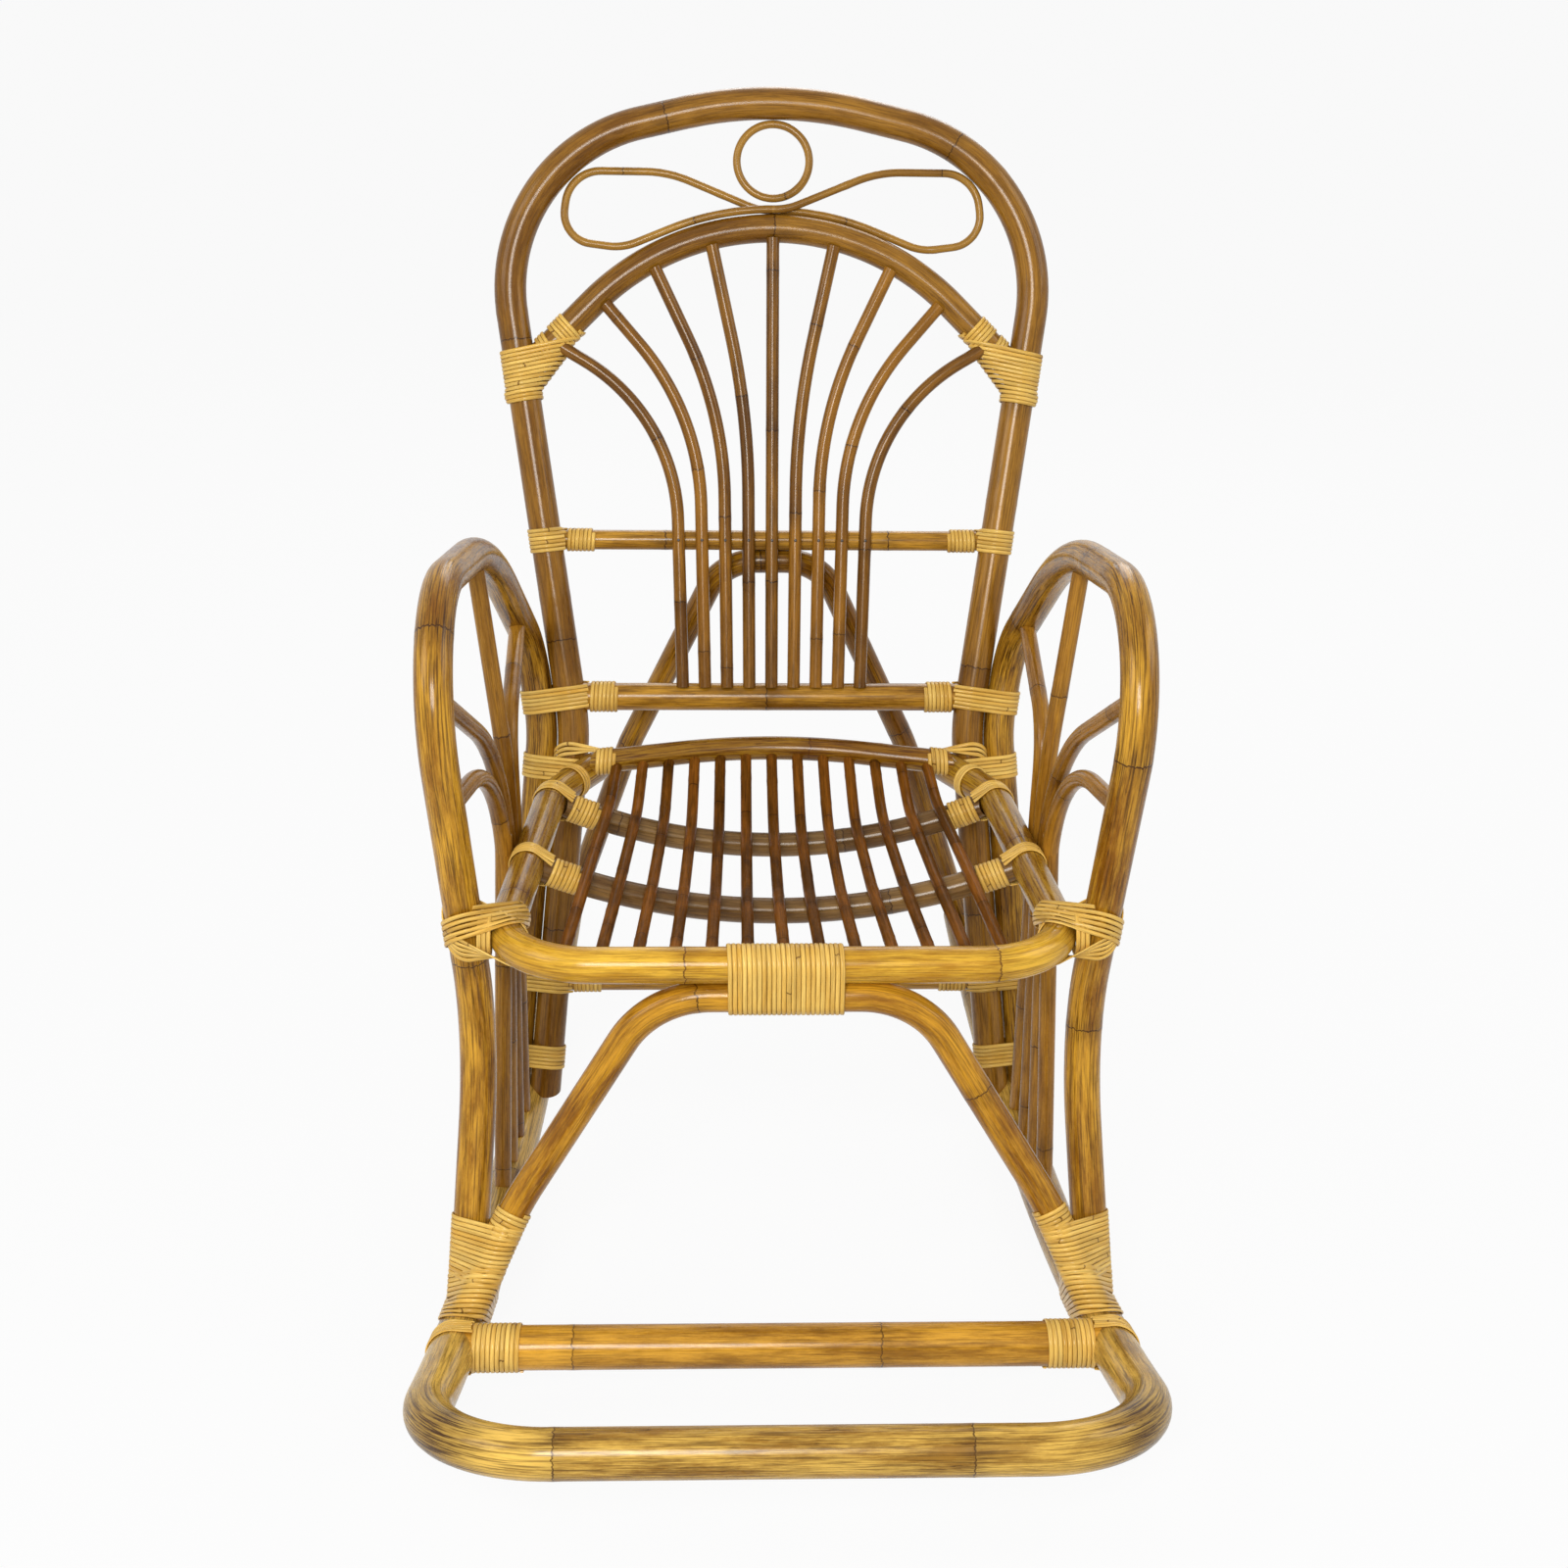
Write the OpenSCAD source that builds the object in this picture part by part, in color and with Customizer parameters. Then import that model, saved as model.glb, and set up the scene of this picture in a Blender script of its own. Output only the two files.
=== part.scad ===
// Rattan rocking chair: bent cane poles, nailed together and bound with peeled cane.
// X runs across the chair, the front is -Y and Z is up. The origin is on the floor,
// under the middle of the base. Sizes are in millimetres and angles in degrees.

/* [Base] */
// Length of the base, from the face of the front bar to the rear ends of the rockers
base_l = 1020; // [1000:5:1040]
// Spacing of the rockers at the front bar, centre to centre
base_w = 588; // [582:2:594]
// Thickness of the base pole
base_d = 40; // [38:0.5:41]
// Radius of the rockers, to the middle of the pole
rocker_r = 1600; // [1500:20:1700]
// How far behind the middle of the base the rockers touch the floor
rest_y = 84; // [70:2:90]
// Angle at which each rocker runs inwards towards the rear
toe_in = 3.6; // [3.2:0.1:4]
// Bend radius of the two front corners
base_corner_r = 102; // [85:1:110]
// Distance of the cross bar behind the front bar
base_bar_y = 209; // [195:2:225]
// Thickness of the cross bar
base_bar_d = 38; // [35:0.5:39]

/* [Side hoops] */
// Thickness of the side hoops and of the back hoop
pole_d = 32; // [30:0.5:33]
// Distance of the front legs behind the front bar, at the rockers
leg_y = 275; // [268:1:285]
// How far each leg bows backwards below the seat
leg_bow = 101; // [90:1:106]
// Height of the bow in the leg
leg_bow_z = 272; // [262:2:285]
// Bend radius of the bow in the leg
leg_bow_r = 250; // [220:10:270]
// How far the arm flares out from the leg's place at the seat
arm_flare = 22; // [14:2:26]
// Height at the front of the arm, where its two straight runs would meet
arm_front_z = 694; // [680:2:710]
// Height at the rear of the arm, where its two straight runs would meet
arm_rear_z = 637; // [625:1:645]
// Distance between these two places
arm_l = 345; // [335:1:355]
// Bend radius at the front of the arm
arm_front_r = 110; // [90:5:120]
// Bend radius at the rear of the arm
arm_rear_r = 300; // [260:10:310]
// Distance up the back at which the hoop comes down on the outside of the back post
tail_s = 500; // [490:2:510]
// Bend radius of the hoop there
tail_r = 70; // [60:2:76]

/* [Back] */
// Lean of the back from upright
recline = 17; // [16:0.5:18]
// How far in front of the seat's rear corners the plane of the back would meet the floor
back_in = 14; // [8:1:20]
// Half width of the back hoop at its waist
waist_x = 201; // [197:1:205]
// Distance of the waist up the back
waist_s = 415; // [405:5:420]
// Bend radius at the waist
waist_r = 230; // [180:10:240]
// Half width at the shoulder, where the straight runs would meet
shoulder_x = 283; // [277:1:289]
// Distance of the shoulder up the back
shoulder_s = 985; // [970:5:1000]
// Bend radius of the shoulders
shoulder_r = 168; // [150:4:172]
// How far the crown rises above the shoulders, where its straight runs would meet
crown_rise = 66; // [60:2:72]
// Bend radius of the crown
crown_r = 400; // [360:10:430]
// Thickness of the inner arch
arch_d = 28; // [25:0.5:29]
// Distance of the top of the arch up the back, to its middle line
arch_s = 918; // [908:2:924]
// Bend radius of the arch
arch_r = 256; // [246:2:266]
// Distance of the lower rail up the back
low_rail_s = 447.6; // [444:0.5:452]
// Thickness of the lower rail
low_rail_d = 28; // [26:0.5:29]
// Distance of the upper rail up the back
up_rail_s = 607; // [590:5:620]
// Thickness of the upper rail
up_rail_d = 20; // [18:0.5:21]
// Thickness of the fanned spindles
spindle_d = 13; // [11:0.5:14]
// Spacing of the spindles at the lower rail
spindle_step = 22.5; // [21:0.5:24]
// Angle between the tops of the spindles, round the arch
spindle_fan = 14.3; // [13.5:0.1:14.7]
// How much wider their spacing is where they spread
spindle_spread = 1.09; // [1:0.01:1.15]
// Distance up the back at which the spindles spread
spindle_bend_s = 733; // [720:1:740]
// Bend radius of the spindles beside the middle one, and less the further out they are
spindle_bend_r = 760; // [600:20:780]
// Thickness of the thin cane in the crown
scroll_d = 8; // [7:0.5:9]
// Half width of the two lobes of thin cane
lobe_x = 207; // [200:1:210]

/* [Seat] */
// Height of the front rail of the seat, to its middle line
seat_z = 383; // [378:1:388]
// Distance of the front rail of the seat behind the front bar
seat_y = 295; // [290:1:300]
// Slope of the seat down to the rear
seat_tilt = 2.2; // [1.8:0.1:2.6]
// Thickness of the seat frame
seat_d = 31; // [29:0.5:32]
// Half width of the seat frame at the front
seat_x = 243.5; // [240:0.5:246]
// Angle at which each side of the seat runs inwards towards the rear
seat_taper = 3.7; // [3.3:0.1:4]
// Bend radius of the front corners
seat_corner_r = 76; // [60:2:80]
// Depth of the seat frame to its rear corners
seat_depth = 385; // [378:1:390]
// Bend radius of the rear corners
seat_rear_r = 120; // [100:5:140]
// Thickness of the rail at the back of the seat
seat_rail_d = 24; // [22:0.5:25]
// Thickness of the two cross bars under the slats
cross_d = 24; // [22:0.5:25]
// How far the cross bars sag in the middle
cross_sag = 48; // [42:1:52]
// Distance of the front cross bar behind the front rail
cross_front_y = 216; // [200:2:230]
// Distance of the rear cross bar in front of the rear corners
cross_rear_in = 10; // [7:1:20]
// Number of slats
slat_count = 13; // [9:2:13]
// Thickness of the slats
slat_d = 11; // [9:0.5:12]
// Half width of the row of slats at the front
slat_front_x = 189; // [180:1:192]
// Half width of the row of slats at the rear
slat_rear_x = 156; // [150:1:160]

/* [Braces] */
// Thickness of the brace under the front rail
brace_d = 27; // [25:0.5:28]
// Half width of the flat top of the brace, where its straight runs would meet
brace_x = 112; // [108:1:118]
// Bend radius of the brace
brace_r = 85; // [75:5:90]
// How much further out the brace bends again, above its feet
brace_knee_out = 119; // [112:1:124]
// Height of these lower bends
brace_knee_z = 150; // [140:2:160]
// Their radius
brace_knee_r = 110; // [90:5:130]
// Thickness of the brace behind the back
prop_d = 25; // [23:0.5:26]
// Height of its top, to the middle line
prop_z = 555; // [545:1:556]
// Half width of its top, where its straight runs would meet
prop_x = 50; // [45:1:55]
// Bend radius of its top
prop_r = 55; // [50:1:60]
// Distance of its feet from the rockers' rear ends
prop_end_in = 30; // [28:1:36]
// Half the distance between its lower bends
prop_knee_x = 150; // [140:2:160]
// Height of these lower bends
prop_knee_z = 330; // [310:5:350]
// Their radius
prop_knee_r = 300; // [260:10:340]
// Thickness of the stretcher between the back posts
stretcher_d = 25; // [23:0.5:26]
// Distance of the stretcher up the back
stretcher_s = 155; // [145:5:175]
// Thickness of the spindles under the arms
side_spindle_d = 16; // [14:0.5:17]
// How far in front of the foot of the back's plane the last of these spindles stands
side_spindle_out = 32; // [28:0.5:36]
// Spacing of these spindles along the rockers
side_spindle_step = 48; // [40:2:50]
// Spacing of these spindles where they pass the seat
side_pass_step = 21; // [19:0.5:23]
// How much further back the first of them passes the seat than it stands on the rocker
side_pass_in = 35; // [30:1:40]
// Bend radius of these spindles below the seat
side_bend_r = 400; // [300:20:460]

/* [Bindings] */
// Thickness of a layer of binding cane
wrap_t = 2; // [1.5:0.1:2.4]
// Length of the binding on the end of a rail
wrap_l = 32; // [26:1:36]
// Length of the binding on each end of the cross bar of the base
base_wrap_l = 22; // [18:1:30]
// Width of a binding strap
strap_w = 24; // [20:1:28]
// Turns of the binding in the middle of the front rail
front_turns = 24; // [18:1:24]
// Spacing of these turns
front_pitch = 4.05; // [4:0.05:4.4]
// Width of the strand in them
strand_w = 3.4; // [3.2:0.05:3.5]
// Thickness of the strand in them
strand_t = 1.8; // [1.4:0.1:2.2]

/* [Hidden] */
// Clearance between pieces that lie against each other, more than the swelling of a growth ring
fit = 0.3;
// Clearance between curved poles that cross
touch = 0.6;
// Gap left inside a pole where two stretches meet, bridged by the growth ring
ring_gap = 0.02;
// Swelling of a growth ring over the pole
ring_swell = 0.5;
// Facets round a pole of thickness d
function round_fn(d) = d < 15 ? 24 : 36;

front_bar_y = -base_l / 2 + base_d / 2;
slope_in = tan(toe_in);
seat_front_y = front_bar_y + seat_y;
// The back stands where the seat ends, and so does the rear cross bar
back_y = seat_front_y + seat_depth - back_in;
cross_rear_y = seat_depth - cross_rear_in;

slat_names = [for (i = [1:slat_count]) str("seat_slat_", i)];

// Vectors

function unit(v) = v / norm(v);
function flip(p) = [-p[0], p[1], p[2]];
function mix(a, b, t) = a + (b - a) * t;
function turn(a, b, c) = acos(max(-1, min(1, unit(b - a) * unit(c - b))));
// A point on the bend of radius r at b, at a share t of the way round it
function bend_point(a, b, c, r, t) =
  let (u = unit(b - a), v = unit(c - b), angle = turn(a, b, c))
  let (centre = b + unit(v - u) * r / cos(angle / 2), spoke = b - u * r * tan(angle / 2) - centre)
  centre + spoke * cos(angle * t) + cross(unit(cross(u, v)), spoke) * sin(angle * t);
// Points of a symmetric pole, from those of its right half, outer end first
function mirrored(half) = concat(half, [for (i = [len(half) - 1:-1:0]) flip(half[i])]);

// Puts children with their X axis along x, their Z axis along z and their origin at o
module placed(o, x, z) {
  y = cross(z, x);
  multmatrix([[x[0], y[0], z[0], o[0]], [x[1], y[1], z[1], o[1]], [x[2], y[2], z[2], o[2]], [0, 0, 0, 1]])
    children();
}

// Puts children with their origin at a and their Z axis towards b
module along(a, b) {
  z = unit(b - a);
  x = unit(cross(abs(z[2]) < 0.9 ? [0, 0, 1] : [0, 1, 0], z));
  placed(a, x, z) children();
}

module rod(a, b, d) along(a, b) cylinder(d = d, h = norm(b - a), $fn = round_fn(d));

module both_sides() {
  children();
  mirror([1, 0, 0]) children();
}

// Bent poles: straight runs between points, with a bend of a given radius at each inner point

module bend(p, u, v, r, d) {
  a = acos(max(-1, min(1, u * v)));
  centre = p + unit(v - u) * r / cos(a / 2);
  start = p - u * r * tan(a / 2);
  trim = ring_gap / r * 180 / PI;
  placed(centre, unit(start - centre), unit(cross(u, v)))
    rotate([0, 0, trim])
      rotate_extrude(angle = a - 2 * trim, $fn = r > 1000 ? 240 : 96)
        translate([r, 0]) circle(d = d, $fn = round_fn(d));
}

// A growth ring, turned so that its seam doesn't meet the seam of the bend beside it
module growth_ring(p, dir, d)
  along(p, p + dir) rotate([0, 0, 25]) sphere(d = d + ring_swell, $fn = round_fn(d));

module pole(points, radii, d) {
  n = len(points);
  dirs = [for (i = [0:n - 2]) unit(points[i + 1] - points[i])];
  back = [for (i = [0:n - 1]) i == 0 || i == n - 1 ? 0
    : radii[i - 1] * tan(turn(points[i - 1], points[i], points[i + 1]) / 2)];
  for (i = [0:n - 2]) {
    a = points[i] + dirs[i] * back[i];
    b = points[i + 1] - dirs[i] * back[i + 1];
    run = norm(b - a);
    // growth rings cover the places where the stretches meet
    if (i > 0 && (i < n - 2 || run > 3 * ring_gap)) growth_ring(a, dirs[i], d);
    if (i < n - 2 && run > d / 4) growth_ring(b, dirs[i], d);
    if (run > 3 * ring_gap) rod(a + dirs[i] * ring_gap, b - dirs[i] * ring_gap, d);
  }
  for (i = [1:n - 2]) bend(points[i], dirs[i - 1], dirs[i], radii[i - 1], d);
}

// Bindings

module bore(a, b, d) rod(a - unit(b - a), b + unit(b - a), d);

// Outline of a belt round two circles, the first at the origin and the second at [x, 0]
function belt(x, r1, r2, n) =
  let (lean = asin((r1 - r2) / x))
  concat(
    [for (i = [0:n]) let (a = 90 - lean + i * (180 + 2 * lean) / n) [r1 * cos(a), r1 * sin(a)]],
    [for (i = [0:n]) let (a = -90 + lean + i * (180 - 2 * lean) / n) [x + r2 * cos(a), r2 * sin(a)]]
  );

// Outside of a strap of width w round two poles that lie side by side along an axis, at p and q
module strap_body(p, q, d1, d2, axis, w) {
  x = unit(q - p - axis * ((q - p) * axis));
  placed(p - axis * w / 2, x, axis)
    linear_extrude(w) polygon(belt((q - p) * x, d1 / 2 + fit + wrap_t, d2 / 2 + fit + wrap_t, 18));
}

// The strap is bored for both poles
module strap_bores(p, q, d1, d2, axis, w) {
  rod(p - axis * w, p + axis * w, d1 + 2 * fit);
  rod(q - axis * w, q + axis * w, d2 + 2 * fit);
}

// Base: one pole, bent round the front, whose two sides are the rockers

base_x = base_w / 2;
base_end_y = base_l / 2;
// Angle round the rocker, its height and its side, at a distance y behind the origin
function rock_a(y) = asin((y - rest_y) / cos(toe_in) / rocker_r);
function rock_z(y) = base_d / 2 + rocker_r * (1 - cos(rock_a(y)));
function rock_x(y) = base_x - (y - front_bar_y) * slope_in;
function rock_at(y) = [rock_x(y), y, rock_z(y)];
function rock_dir(y) =
  unit([-sin(toe_in) * cos(rock_a(y)), cos(toe_in) * cos(rock_a(y)), sin(rock_a(y))]);

// The rocker bends from here to its rear end; in front of it the pole runs straight
rocker_front_y = front_bar_y + base_corner_r + 14;
front_angle = rock_a(rocker_front_y);
rear_angle = rock_a(base_end_y);
front_bar_z = rock_z(rocker_front_y) - tan(front_angle) * (rocker_front_y - front_bar_y) / cos(toe_in);
// Where the straight runs at the two ends of the rocker would meet
keel_angle = (front_angle + rear_angle) / 2;
keel_r = rocker_r / cos((rear_angle - front_angle) / 2);
keel_y = rest_y + keel_r * sin(keel_angle) * cos(toe_in);
keel = [rock_x(keel_y), keel_y, rocker_r + base_d / 2 - keel_r * cos(keel_angle)];

module base_pole(d) {
  ends = [rock_at(base_end_y), keel, [base_x, front_bar_y, front_bar_z]];
  pole(mirrored(ends), [rocker_r, base_corner_r, base_corner_r, rocker_r], d);
}

// A straight stand-in for the rocker close to y
module rocker_cut(y, d, reach = 60) {
  p = rock_at(y);
  rod(p - rock_dir(y) * reach, p + rock_dir(y) * reach, d);
}

module base_loop() color("peru") base_pole(base_d);

bar_y = front_bar_y + base_bar_y;

module base_cross_bar() color("goldenrod") {
  difference() {
    rod([-rock_x(bar_y), bar_y, rock_z(bar_y)], [rock_x(bar_y), bar_y, rock_z(bar_y)], base_bar_d);
    both_sides() rocker_cut(bar_y, base_d + 2 * fit);
  }
}

// Back, drawn flat: X across, Z up the back, and then leaned back

module in_back() translate([0, back_y, 0]) rotate([-recline, 0, 0]) children();
function to_back(p) = [
  p[0],
  back_y + p[1] * cos(recline) + p[2] * sin(recline),
  p[2] * cos(recline) - p[1] * sin(recline)
];

// The back posts stand on the inner half of the rockers and the tails of the side hoops on the outer
post_y = back_y + 50 * sin(recline);
foot_x = rock_x(post_y) - (pole_d + touch) / 2;
foot_s = rock_z(post_y) / cos(recline);
waist = [waist_x, 0, waist_s];
foot = [foot_x, 0, foot_s];
shoulder = [shoulder_x, 0, shoulder_s];
crown = [0, 0, shoulder_s + crown_rise];
// Half width of the posts at a distance s up the back
function post_x(s) = s < waist_s
  ? waist_x + (waist_s - s) * (foot_x - waist_x) / (waist_s - foot_s)
  : waist_x + (s - waist_s) * (shoulder_x - waist_x) / (shoulder_s - waist_s);
function post_at(s) = [post_x(s), 0, s];
post_dir = unit(shoulder - waist);
low_post_dir = unit(waist - foot);

module back_pole(d) {
  half = [foot, waist, shoulder];
  pole(
    concat(half, [crown], [for (i = [2:-1:0]) flip(half[i])]),
    [waist_r, shoulder_r, crown_r, shoulder_r, waist_r], d
  );
}

module post_cut(d) {
  both_sides() {
    rod(waist, shoulder, d);
    rod(foot, waist, d);
  }
}

module back_hoop() color("sienna") {
  difference() {
    in_back() back_pole(pole_d);
    both_sides() rocker_cut(post_y, base_d + 2 * fit);
  }
}

// Inner arch: a bend between two straight ends at 45 degrees
arch_peak = arch_s + arch_r * (1 / cos(45) - 1);
post_lean = (shoulder_x - waist_x) / (shoulder_s - waist_s);
arch_end_x = (waist_x + (arch_peak - waist_s) * post_lean) / (1 + post_lean);
arch_end = [arch_end_x, 0, arch_peak - arch_end_x];
arch_dir = [-sin(45), 0, cos(45)];

module arch_pole(d) pole([arch_end, [0, 0, arch_peak], flip(arch_end)], [arch_r], d);

module back_arch() color("sienna") in_back() {
  difference() {
    arch_pole(arch_d);
    post_cut(pole_d + 2 * fit);
  }
}

// Rails: the upper one lies behind the spindles and the spindles are nailed to it
spindle_n = -(up_rail_d + spindle_d) / 4 - fit;
up_rail_n = (up_rail_d + spindle_d) / 4 + fit;
nail_d = 3;
nail_l = 20;

module rail(s, n, d) {
  difference() {
    rod([-post_x(s), n, s], [post_x(s), n, s], d);
    both_sides() rod(s < waist_s ? foot : waist, s < waist_s ? waist : shoulder, pole_d + 2 * fit);
  }
}

module back_lower_rail() color("sienna") in_back() rail(low_rail_s, 0, low_rail_d);

module back_upper_rail() color("sienna") in_back() {
  difference() {
    rail(up_rail_s, up_rail_n, up_rail_d);
    for (i = [0:8]) nail(i, fit);
  }
}

// Fanned spindles, numbered from the left
function arch_point(a) = abs(a) < 45
  ? [arch_r * sin(a), arch_s - arch_r * (1 - cos(a))]
  : let (c = arch_s - arch_r, r = (arch_peak - c) * cos(45) / cos(abs(a) - 45)) [r * sin(a), c + r * cos(a)];
function spindle_x(k) = k * spindle_step;
function spread_x(k) = k * spindle_step * spindle_spread;

function spindle_bend(k) = [spread_x(k), spindle_n, spindle_bend_s];
function spindle_top(k) = let (p = arch_point(k * spindle_fan)) [p[0], spindle_n, p[1]];

module spindle(k) {
  low = [spindle_x(k), spindle_n, low_rail_s];
  if (k == 0) rod(low, spindle_top(k), spindle_d);
  else pole([low, spindle_bend(k), spindle_top(k)], [spindle_bend_r / abs(k)], spindle_d);
}

function nail_x(k) = mix(spindle_x(k), spread_x(k), (up_rail_s - low_rail_s) / (spindle_bend_s - low_rail_s));

module nail(i, grow) {
  x = nail_x(i - 4);
  front = spindle_n - spindle_d / 2;
  translate([x, front - (grow > 0 ? 1 : 0.6), up_rail_s])
    rotate([-90, 0, 0]) cylinder(d = nail_d + 2 * grow, h = nail_l + (grow > 0 ? 1.4 : 0), $fn = 24);
}

module back_spindle(i) color("chocolate") in_back() {
  difference() {
    spindle(i - 4);
    rod([-post_x(low_rail_s), 0, low_rail_s], [post_x(low_rail_s), 0, low_rail_s], low_rail_d + 2 * fit);
    arch_pole(arch_d + 2 * fit);
    nail(i, fit);
  }
}

module nails() color("dimgray") in_back() for (i = [0:8]) nail(i, 0);

// Thin cane in the crown: a ring over a figure of eight that lies on the arch
crown_drop = crown_r * (1 / cos(atan(crown_rise / shoulder_x)) - 1);
crown_under = shoulder_s + crown_rise - crown_drop - pole_d / 2;
arch_over = arch_s + arch_d / 2;
lobe_s = arch_over + scroll_d / 2 + fit;
lobe_n = scroll_d / 2 + fit;
scroll_ring_r = (crown_under - lobe_s - fit - scroll_d - scroll_d * 0.9) / 2;
scroll_ring_s = crown_under - fit - scroll_d / 2 - scroll_ring_r;

module back_scroll_ring() color("tan") in_back()
  translate([0, 0, scroll_ring_s]) rotate([90, 0, 0])
    rotate_extrude($fn = 96) translate([scroll_ring_r, 0]) circle(d = scroll_d, $fn = 24);

hug_r = arch_r + (arch_d + scroll_d) / 2 + fit;
hug_a = 22;
hug_x = hug_r * tan(hug_a / 2);
lobe_low_x = lobe_x - 57;
lobe_low_s = lobe_s - (lobe_low_x - hug_x) * tan(hug_a);
lobe_high_s = lobe_s + 37;
// Corners of the right lobe, from where it leaves the middle at the top to where it is back on the arch
function lobe(side, n0, n1) = [
  [side * 14, n0, lobe_s],
  [side * 105, n0, lobe_high_s],
  [side * (lobe_x - 4), mix(n0, n1, 0.35), lobe_high_s],
  [side * (lobe_x + 5), mix(n0, n1, 0.65), lobe_low_s + 8],
  [side * lobe_low_x, n1, lobe_low_s],
  [side * hug_x, n1, lobe_s]
];
lobe_radii = [60, 120, 36, 30, 56, hug_r];

// Both lobes are one closed strand, so its tube is drawn ring by ring along its middle line
lobe_corners = concat(lobe(1, -lobe_n, lobe_n), lobe(-1, lobe_n, -lobe_n));
lobe_line = [for (i = [0:11])
  let (a = lobe_corners[(i + 11) % 12], b = lobe_corners[i], c = lobe_corners[(i + 1) % 12])
  let (r = lobe_radii[i % 6], steps = ceil(turn(a, b, c) / (2 * acos(1 - 0.15 / r))))
  for (j = [0:steps]) bend_point(a, b, c, r, j / steps)];
lobe_rings = len(lobe_line);

function tube_ring(line, i, r) =
  let (n = len(line), ahead = unit(line[(i + 1) % n] - line[i]), behind = unit(line[i] - line[(i + n - 1) % n]))
  let (t = unit(ahead + behind), u = unit([0, 1, 0] - t * t[1]), v = cross(t, u))
  [for (j = [0:7]) line[i] + r * (cos(45 * j) * u + sin(45 * j) * v)];

module back_scroll_lobes() color("tan") in_back()
  polyhedron(
    points = [for (i = [0:lobe_rings - 1]) each tube_ring(lobe_line, i, scroll_d / 2)],
    faces = [for (i = [0:lobe_rings - 1], j = [0:7])
      let (a = 8 * i, b = 8 * ((i + 1) % lobe_rings), k = (j + 1) % 8)
      each [[a + j, b + j, a + k], [b + j, b + k, a + k]]]
  );

// Seat, drawn flat with its origin in the middle of the front rail, and then tilted

module in_seat() translate([0, seat_front_y, seat_z]) rotate([-seat_tilt, 0, 0]) children();
function to_seat(p) = [
  p[0],
  seat_front_y + p[1] * cos(seat_tilt) + p[2] * sin(seat_tilt),
  seat_z + p[2] * cos(seat_tilt) - p[1] * sin(seat_tilt)
];

function side_x(y) = seat_x - y * tan(seat_taper);
seat_rear = [side_x(seat_depth), seat_depth, 0];
// The rear ends turn in and rest against the back posts
seat_end = [side_x(seat_depth) - 40, seat_depth + 82, 0];

module seat_pole(d) pole(
  mirrored([seat_end, seat_rear, [seat_x, 0, 0]]),
  [seat_rear_r, seat_corner_r, seat_corner_r, seat_rear_r], d
);

seat_side_dir = unit(seat_rear - [seat_x, 0, 0]);
seat_end_dir = unit(seat_end - seat_rear);

module rear_corner(d) {
  start = seat_rear - seat_side_dir * seat_rear_r * tan(acos(seat_side_dir * seat_end_dir) / 2);
  bend(seat_rear, seat_side_dir, seat_end_dir, seat_rear_r, d);
  rod(start - seat_side_dir * 40, start + seat_side_dir * 0.5, d);
}

module front_corner(d) bend([seat_x, 0, 0], -seat_side_dir, [-1, 0, 0], seat_corner_r, d);

module seat_frame() color("peru") {
  difference() {
    in_seat() seat_pole(seat_d);
    in_back() post_cut(pole_d + 2 * fit);
  }
}

// Rail at the back of the seat, bowed back and up between the ends of the frame
rail_end = mix(seat_rear, seat_end, 0.72) + [0, 0, 12];
rail_bow = [0, 36, 9];
rail_mid = [0, rail_end[1], rail_end[2]] + rail_bow;
rail_bow_r = 480;

module seat_rail_pole(d) pole([rail_end, rail_mid, flip(rail_end)], [rail_bow_r], d);

module seat_back_rail() color("peru") in_seat() {
  difference() {
    seat_rail_pole(seat_rail_d);
    both_sides() rod(seat_rear, mix(seat_rear, seat_end, 1.2), seat_d + 2 * fit);
  }
}

// Middle line of the back rail at x
rail_slope = atan(norm(rail_bow) / rail_end[0]);
function rail_rise(x) = abs(x) < rail_bow_r * sin(rail_slope)
  ? norm(rail_bow) - rail_bow_r * (1 / cos(rail_slope) - cos(asin(x / rail_bow_r)))
  : norm(rail_bow) - abs(x) * tan(rail_slope);
function rail_point(x) = [x, rail_end[1], rail_end[2]] + unit(rail_bow) * rail_rise(x);

// Cross bars: bows that sag between the sides
function bow_r(half) = (half * half + cross_sag * cross_sag) / (2 * cross_sag);
function bow_z(x, half, out) = bow_r(half) - cross_sag - sqrt(pow(bow_r(half) - out, 2) - x * x);

module bow(y, d, from, to) {
  half = side_x(y);
  r = bow_r(half);
  translate([0, y, r - cross_sag]) rotate([90, 0, 0])
    rotate([0, 0, -90 + from]) rotate_extrude(angle = to - from, $fn = 144)
      translate([r, 0]) circle(d = d, $fn = round_fn(d));
}

module cross_bar(y) {
  end_a = asin(side_x(y) / bow_r(side_x(y)));
  bow(y, cross_d, -end_a, end_a);
}

module seat_cross_bar_front() color("saddlebrown") in_seat() difference() {
  cross_bar(cross_front_y);
  both_sides() rod([seat_x, 0, 0], seat_rear, seat_d + 2 * fit);
}

// The rear cross bar ends at the bends of the seat frame
module seat_cross_bar_rear() color("saddlebrown") in_seat() difference() {
  cross_bar(cross_rear_y);
  both_sides() rear_corner(seat_d + 2 * fit);
}

// Slats, numbered from the left, lying on both cross bars
slat_out = (cross_d + slat_d) / 2 + fit;
slat_bend_r = 150;
function slat_x(k, y) = k * mix(slat_front_x, slat_rear_x, y / rail_end[1]);

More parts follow.
